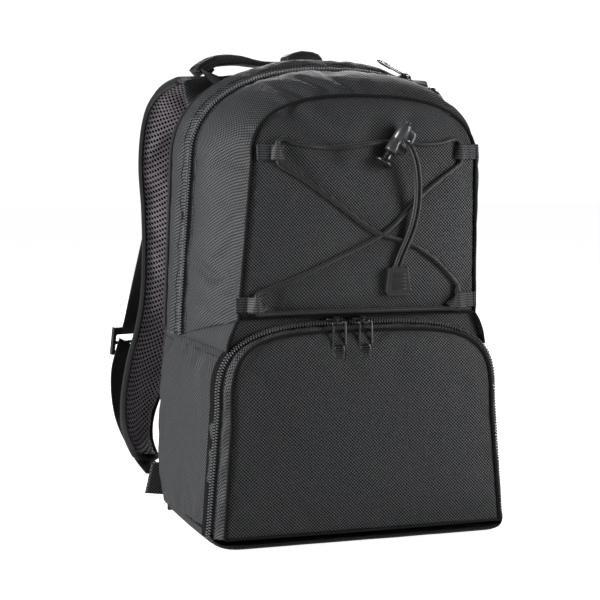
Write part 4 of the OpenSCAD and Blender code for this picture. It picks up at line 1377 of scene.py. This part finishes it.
def make_main_sliders():
    """Two sliders on the arch's right shoulder, with bridges that hold their pulls."""
    for tag, node, x, yaw, turn in (("upper", "a", 66, -50, 105), ("lower", "b", 90, 60, -98)):
        slope = math.atan(arch_z(x + 0.5) - arch_z(x - 0.5))
        seat = Matrix.Translation((x + SWAY / 2, ZIP_Y, arch_z(x))) @ Matrix.Rotation(-slope, 4, "Y")
        turned = Matrix.Rotation(math.radians(yaw), 4, "Z")
        parts = [plate("top", shield(6.8, 4.2), 2.1, 1.5)]
        bridge = spline([[-4.6, 0, 3.2], [-3.2, 0, 5.6], [0, 0, 6.7], [3.2, 0, 5.6], [4.6, 0, 3.2]], 6)
        parts.append(placed(strip("bridge", bridge, (0, 0, 1), 3.6, 1.1), turned))
        slider = placed(joined(f"main_slider_{tag}_casting", parts), seat)
        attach(dress(slider, "zip_metal"), f"main_slider_{tag}")
        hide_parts(f"main_slider_{node}")
        lie = (seat @ Matrix.Translation((0, 0, 5)) @ turned @ Matrix.Rotation(math.radians(turn), 4, "Y")
               @ Matrix.Rotation(math.pi / 2, 4, "Z"))
        wire_pull(f"main_pull_{tag}_wire", lie, f"main_pull_{tag}", f"main_pull_{node}")


def arch_z(x):
    """Height of the main zipper's arch at a distance from its middle."""
    a = ZIP_ARCH
    return a.spring + (a.crown - a.spring) * (1 - (x / a.half) ** a.power) ** (1 / a.power)


# ---------- handle ----------

HANDLE_Y = 90
# Top and bottom of the folded handle along x: a ribbed end, a padded hump, a low stretch and a boxed fold
HANDLE = [[-97, 383, 375], [-92, 388, 378.5], [-82, 393.5, 383.5], [-70, 395, 385.5], [-58, 394, 386],
          [-48, 391.5, 385], [-38, 389.8, 384.5], [-26, 389.6, 385], [-18, 390.4, 385]]
BOXED_FOLD = [(-18, 384), (-17, 394), (-12, 397), (-4, 399.2), (6, 398.4), (11.5, 396.6), (15, 393),
              (16.5, 384)]
HANDLE_LEGS = [[[-90, 92, 386], [-90, 88, 380], [-86, 80.5, 372], [-84, 76.5, 362]],
               [[14, 92, 386], [13, 88, 380], [11, 80.5, 372], [10, 76.5, 362]]]


def handle_run(points):
    """Middle line, thickness and upward direction of a stretch of the handle."""
    p = spline(points, 6)
    line = np.stack([p[:, 0], np.full(len(p), HANDLE_Y), (p[:, 1] + p[:, 2]) / 2], 1)
    d = unit(np.gradient(line, axis=0))
    return line, p[:, 1] - p[:, 2], np.stack([-d[:, 2], 0 * d[:, 0], d[:, 0]], 1)


def make_handle():
    """A padded wrap, and the webbing inside it with its ribbed end, boxed fold and two legs."""
    line, thick, up = handle_run(HANDLE)
    grip = dress(strip("handle_wrap", line, up, 24, thick), "cloth", "handle_twill")
    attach(grip, "handle")
    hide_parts("handle_grip")
    parts = []
    end, end_thick, end_up = handle_run(HANDLE[:3])
    for k in (-0.36, 0.0, 0.36):
        layer = end + end_up * (end_thick * k)[:, None]
        parts.append(strip("layer", layer + (0, -0.5, 0), end_up, 25.4, 2.4))
    low_line, _, low_up = handle_run(HANDLE[4:])
    parts.append(strip("run", low_line - (0, 0.4, 0), low_up, 25.2, 2.2))
    fold = slab("fold", BOXED_FOLD, 23, 1.6, 3)
    parts.append(placed(fold, Matrix.Translation((0, HANDLE_Y, 0))))
    for leg in HANDLE_LEGS:
        parts.append(strip("leg", spline(leg, 6), (0, 0.6, 1), 22, 2.6))
    band = dress(joined("handle_band", parts), "webbing")
    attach(band, "handle")
    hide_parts("handle_webbing")
    for s in (-1, 1):
        row = line[12:] + s * np.array([0, 12.2, 0])
        stitches(f"handle_stitches_{'fb'[s > 0]}", row, (0, s, 0.01), "handle", pitch=3.0, size=0.34)
    rim = np.array([[x * 0.86, HANDLE_Y - 11.7, 384 + (z - 384) * 0.84] for x, z in BOXED_FOLD])
    stitches("handle_fold_stitches", rim, (0, -1, 0.01), "handle", pitch=2.6, size=0.34)


# ---------- straps ----------

# The left strap from top to bottom: middle, half width and outward direction
STRAP_TOP = [[-78, 76.6, 342, 26, 0, -1, 0], [-79.5, 77.2, 352, 26.5, 0, -1, 0.2],
             [-82, 82, 362, 27.5, -0.1, -0.5, 0.85], [-84.6, 86.8, 366.4, 28.4, -0.1, 0.1, 0.97]]
STRAP_LINE = [[-87, 94, 366.5, 29, -0.1, 0.3, 0.95], [-97, 112, 354, 30, -0.1, 0.7, 0.7],
              [-103, 124, 333, 31, 0, 1, 0.2], [-105, 131, 300, 31, 0, 1, 0.1], [-103, 135, 260, 30, 0, 1, 0],
              [-103, 138, 220, 29, 0, 1, 0], [-106, 140, 180, 28, -0.1, 1, 0],
              [-115, 139, 148, 26, -0.3, 1, 0], [-130, 132, 115, 23, -0.5, 0.85, -0.1],
              [-141, 119, 86, 19, -0.6, 0.7, -0.3], [-144, 106, 64, 16, -0.6, 0.6, -0.5],
              [-140, 93, 48, 13, -0.5, 0.5, -0.7]]
# Its two lengths of webbing: middle and outward direction
UPPER_LINE = [[-104, 143, 306, 0, 1, 0.1], [-108, 146.8, 292, 0, 1, 0.1], [-113, 150.8, 262, 0, 1, 0],
              [-121, 156.8, 222, 0, 1, 0], [-128, 160.8, 190, -0.1, 1, 0], [-133, 160.8, 170, -0.2, 1, 0],
              [-137, 159.3, 156, -0.3, 1, 0], [-139, 161, 148, -0.3, 1, 0]]
LOWER_LINE = [[-142, 162, 137, -0.3, 1, 0], [-145, 158.8, 130, -0.4, 1, -0.1],
              [-151, 154.8, 112, -0.5, 0.9, -0.2], [-154, 144.8, 92, -0.6, 0.8, -0.3],
              [-153, 130.6, 72, -0.6, 0.7, -0.5], [-148, 114.6, 54, -0.6, 0.6, -0.6],
              [-141, 98.5, 40, -0.5, 0.5, -0.8], [-135, 85.4, 32, -0.4, 0.4, -0.9]]
STRAP_STEPS = 7    # pieces of curve from each point of a strap to the next
BAND_W, BAND_T = 25, 1.8
PAD_T = 8.0
PAD_FACE = 4.2     # how far the cloth on each face of a pad stands from its middle
MIRROR = {"left": 1, "right": -1}


def stations(points, side):
    """Middle line, half widths, side and outward directions along a strap; the right one is mirrored."""
    p = np.array(points, float)
    p[:, 0] *= MIRROR[side]
    p[:, -3] *= MIRROR[side]
    s = spline(p, STRAP_STEPS)
    _, across, up = frames_along(s[:, :3], s[:, -3:])
    return s[:, :3], s[:, 3:-3], across, up


def make_strap_pad(side):
    """The pad's mesh towards the wearer and its cloth outside, with a binding round both."""
    body = f"strap_{side}"
    mid, half, across, up = stations(STRAP_LINE, side)
    u = np.linspace(-1, 1, 19)[None, :, None]
    bulge = 1 - np.abs(u) ** 5
    flat = mid[:, None] + across[:, None] * half[:, None] * u
    inside = flat + up[:, None] * (PAD_T / 2 - PAD_FACE * bulge)
    outside = flat + up[:, None] * (PAD_T / 2 + PAD_FACE * bulge)
    for name, grid, out, slot in ((f"strap_mesh_{side}", inside, -up, "mesh"),
                                  (f"strap_cover_{side}", outside, up, "cloth")):
        n = np.broadcast_to(out[:, None], grid.shape)
        grid = grid + n * bulge * 0.6 * noise_at(grid, 26, 41)[..., None]
        piece = dress(grid_object(name, grid, n, 1.3, levels=1), slot)
        settle(piece, edge_pins(*grid.shape[:2]), 0.012, 1.5, 2.0)
        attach(piece, body)
        if slot == "mesh":
            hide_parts(f"strap_pad_{side[0]}")
    down, back = (mid + across * half * s + up * PAD_T / 2 for s in (1, -1))
    tip = mid[-1] + up[-1] * PAD_T / 2 + unit(mid[-1] - mid[-2]) * 4
    line = respaced(np.vstack([down, [tip], back[::-1]]), 4.0)
    ups = np.array([up[np.argmin(np.linalg.norm(mid - q, axis=1))] for q in line])
    rim_band = dress(tube(f"strap_binding_{side}", line, 2.3, 10, up=ups, flat=1.5), "webbing", "binding")
    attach(rim_band, body)


def make_strap_top(side):
    """The sewn piece over the top of the back."""
    mid, half, _, up = stations(STRAP_TOP + STRAP_LINE[:3], side)
    sewn = np.arange(len(mid)) < 3 * STRAP_STEPS
    over = smoothstep(360, 366, np.where(sewn, mid[:, 2], 400))
    cover = strip(f"strap_top_cover_{side}", mid + up * lerp(3.0, 6.6, over)[:, None], up,
                  2 * half[:, 0] + 3.4, lerp(6.2, 4.6, over), edge=0.3)
    dress(cover, "cloth")
    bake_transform(cover)
    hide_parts(f"strap_top_{side[0]}")


def make_strap(side):
    """A whole strap: its pad and top piece, both lengths of webbing, its ladder lock and its anchor."""
    make_strap_pad(side)
    make_strap_top(side)
    tag = side[0]
    for name, points, node in ((f"upper_band_{side}", UPPER_LINE, f"strap_webbing_{tag}"),
                               (f"lower_band_{side}", LOWER_LINE, f"lower_webbing_{tag}")):
        mid, _, _, up = stations(points, side)
        band = dress(strip(name, mid, up, BAND_W, BAND_T), "webbing")
        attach(band, f"strap_{side}")
        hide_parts(node)
    soften(f"ladder_lock_{tag}", f"ladder_frame_{side}", "buckle", f"ladder_{side}", 0.5, 3)
    soften(f"strap_anchor_{tag}", f"anchor_tab_{side}", "cloth", "bag", 1.0, 5, "solid_cloth")


def soften(node, name, slot, body, voxel, rounds, material=None):
    """A solid's own shape with its edges rounded off."""
    obj = bpy.data.objects.new(name, frame["nodes"][node].data.copy())
    bpy.context.scene.collection.objects.link(obj)
    obj.data.materials.clear()
    m = obj.modifiers.new("remesh", "REMESH")
    m.mode, m.voxel_size = "VOXEL", voxel * MM
    m = obj.modifiers.new("smooth", "SMOOTH")
    m.factor, m.iterations = 0.5, rounds
    applied(obj)
    obj.data.polygons.foreach_set("use_smooth", [True] * len(obj.data.polygons))
    dress(obj, slot, material)
    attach(obj, body)
    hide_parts(node)


# ---------- back ----------


def make_back_panel():
    low_z = np.linspace(3, SHELF_Z - 2, 24)
    p = even(BACK_ARCH, 90, SHELF_Z)
    p = p[p < 1.96]
    x, z = arch_at(BACK_ARCH, p, foot=SHELF_Z)
    edge_x = np.concatenate([np.full(24, HALF_W - 1.0), -x])
    edge_z = np.concatenate([low_z, z])
    u = np.linspace(-1, 1, 48)[None]
    grid = np.stack([edge_x[:, None] * u + 2 * sag(edge_z)[:, None],
                     np.full((len(edge_z), 48), BACK_FACE_Y - 0.3),
                     edge_z[:, None] * np.ones((1, 48))], -1)
    grid[..., 1] += 0.8 * noise_at(grid, 60, 51) * (1 - np.abs(u) ** 4)
    panel = dress(grid_object("back_panel_cloth", grid, (0, 1, 0), 3.4), "cloth")
    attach(panel, "bag")
    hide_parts("back_panel")


def make_back_pads():
    """Two quilted mesh pads with bound edges."""
    for s, tag in ((-1, "l"), (1, "r")):
        rows, cols = 64, 20
        v = np.linspace(0, 1, rows)[:, None]
        w = np.linspace(-1, 1, cols)[None]
        ease = np.clip(1 - (np.abs(2 * v - 1)) ** 14, 0, 1) ** 0.5
        xs = s * 54 + 38 * w * (0.82 + 0.18 * ease)
        zs = lerp(40, 325, v) + 0 * w
        round_off = (1 - np.abs(w) ** 6) * (1 - np.abs(2 * v - 1) ** 30)
        puff = 5.6 * round_off * (0.72 + 0.28 * np.abs(np.sin(math.pi * v * 5)) ** 0.4)
        grid = np.stack([xs, BACK_FACE_Y + 0.2 + puff, zs], -1)
        pad = dress(grid_object(f"back_pad_{tag}", grid, (0, 1, 0), 2.0, levels=1), "mesh")
        settle(pad, edge_pins(rows, cols), 0.01, 1.2, 1.5)
        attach(pad, "bag")
        if s < 0:
            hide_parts("back_pads")
        ring = np.vstack([grid[:, 0], grid[-1, 1:], grid[::-1, -1][1:], grid[0, ::-1][1:-1]])
        trim = tube(f"back_pad_binding_{tag}", ring + (0, 0.8, 0), 1.7, 8, up=(0, 1, 0), loop=True)
        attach(dress(trim, "webbing", "binding"), "bag")


def make_handle_tabs():
    """Two patches that hold the handle's legs, each sewn down in a crossed box."""
    patches = []
    for x in (-34, 10):
        line = np.array([[x, BACK_FACE_Y + 1.5, z] for z in np.linspace(343, 369, 10)])
        patches.append(strip("patch", line, (0, 1, 0), 22, 2.0))
    patch = dress(joined("handle_tabs", patches), "webbing")
    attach(patch, "bag")
    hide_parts("handle_patch")
    crossed_box = ((-8, 347), (8, 347), (8, 365), (-8, 365), (-8, 347), (8, 365), (-8, 365), (8, 347))
    for k, x in enumerate((-34, 10)):
        box = np.array([[x + a, BACK_FACE_Y + 2.6, z] for a, z in crossed_box])
        stitches(f"handle_tab_stitches_{k}", respaced(box, 1.0), (0, 1, 0), "bag", pitch=2.6, size=0.3)


# ---------- inside ----------


def pocket(name, node, body, place, half_x, low_z, high_z, inward):
    """A slack pocket sewn on three sides, with an elastic hem along its open top."""
    rows, cols = 26, 40
    u = np.linspace(-1, 1, cols)[None]
    v = np.linspace(0, 1, rows)[:, None]
    x = half_x * u + 0 * v
    z = lerp(low_z, high_z, v) + 0 * u
    held = (1 - np.abs(u) ** 6) * (1 - (1 - v) ** 6)
    depth = held * (3.0 + 1.4 * noise_at(np.stack([x, 0 * x, z], -1) * (1, 1, 0.4), 22, 61))
    depth += 0.9 * held * v**6 * np.sin(u * 34)
    grid = place(x, z, depth)
    obj = dress(grid_object(name, grid, inward, 1.0), SLOT_OF[node])
    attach(obj, body)
    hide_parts(node)
    hem = dress(tube(f"{name}_hem", grid[-1], 1.7, 8, up=inward), "webbing", "binding")
    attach(hem, body)


def make_inside():
    pocket("lid_inner_pocket", "lid_pocket", "lid",
           lambda x, z, d: np.stack([x, LID_FACE_Y + 4.6 + LID_LEAN * (z - HINGE_Z) + d, z], -1),
           72, 196, 296, (0, 1, 0))
    pocket("door_inner_pocket", "door_pocket", "door",
           lambda x, z, d: np.stack([x, DOOR_FACE_Y + 4.6 + DOOR_LEAN * (z - DOOR_FOOT_Z) + d, z], -1),
           82, 26, 110, (0, 1, 0))
    pocket("slip_pocket_cloth", "slip_pocket", "bag",
           lambda x, z, d: np.stack([x, BACK_Y - 1.5 - 2.2 * d, z], -1), 97, 162, 289, (0, -1, 0))
    soften("shelf", "shelf_pad", SLOT_OF["shelf"], "bag", 1.6, 5)
    soften("drone_cradle", "cradle_foam", SLOT_OF["drone_cradle"], "bag", 1.7, 5)
    soften("padded_divider", "divider_pad", SLOT_OF["padded_divider"], "bag", 1.2, 8)


# ---------- the whole ----------

SLOT_OF = {s["node"]: s["material_slot"] for s in frame["record"]["subparts"]}

make_camera()
make_cords()
make_studio()
make_lid_gusset()
lid_cloth = make_lid_panel()
lid_height = cloth_height(lid_cloth)
make_lid_piping()
make_lacing(lid_height)
make_loops(lid_height)
make_lock()
make_rear_gusset()
make_main_zip()
for side, tag in ((-1, "l"), (1, "r")):
    make_side(side, f"lower_side_cloth_{tag}", f"lower_side_{tag}")
make_base()
make_yoke()
make_door_panel()
make_door_gusset()
make_door_piping()
make_door_zip()
make_door_sliders()
make_main_sliders()
make_handle()
make_strap("left")
make_strap("right")
make_back_panel()
make_back_pads()
make_handle_tabs()
make_inside()
for node, obj in frame["nodes"].items():
    if not obj.hide_render:
        dress(obj, SLOT_OF[node])
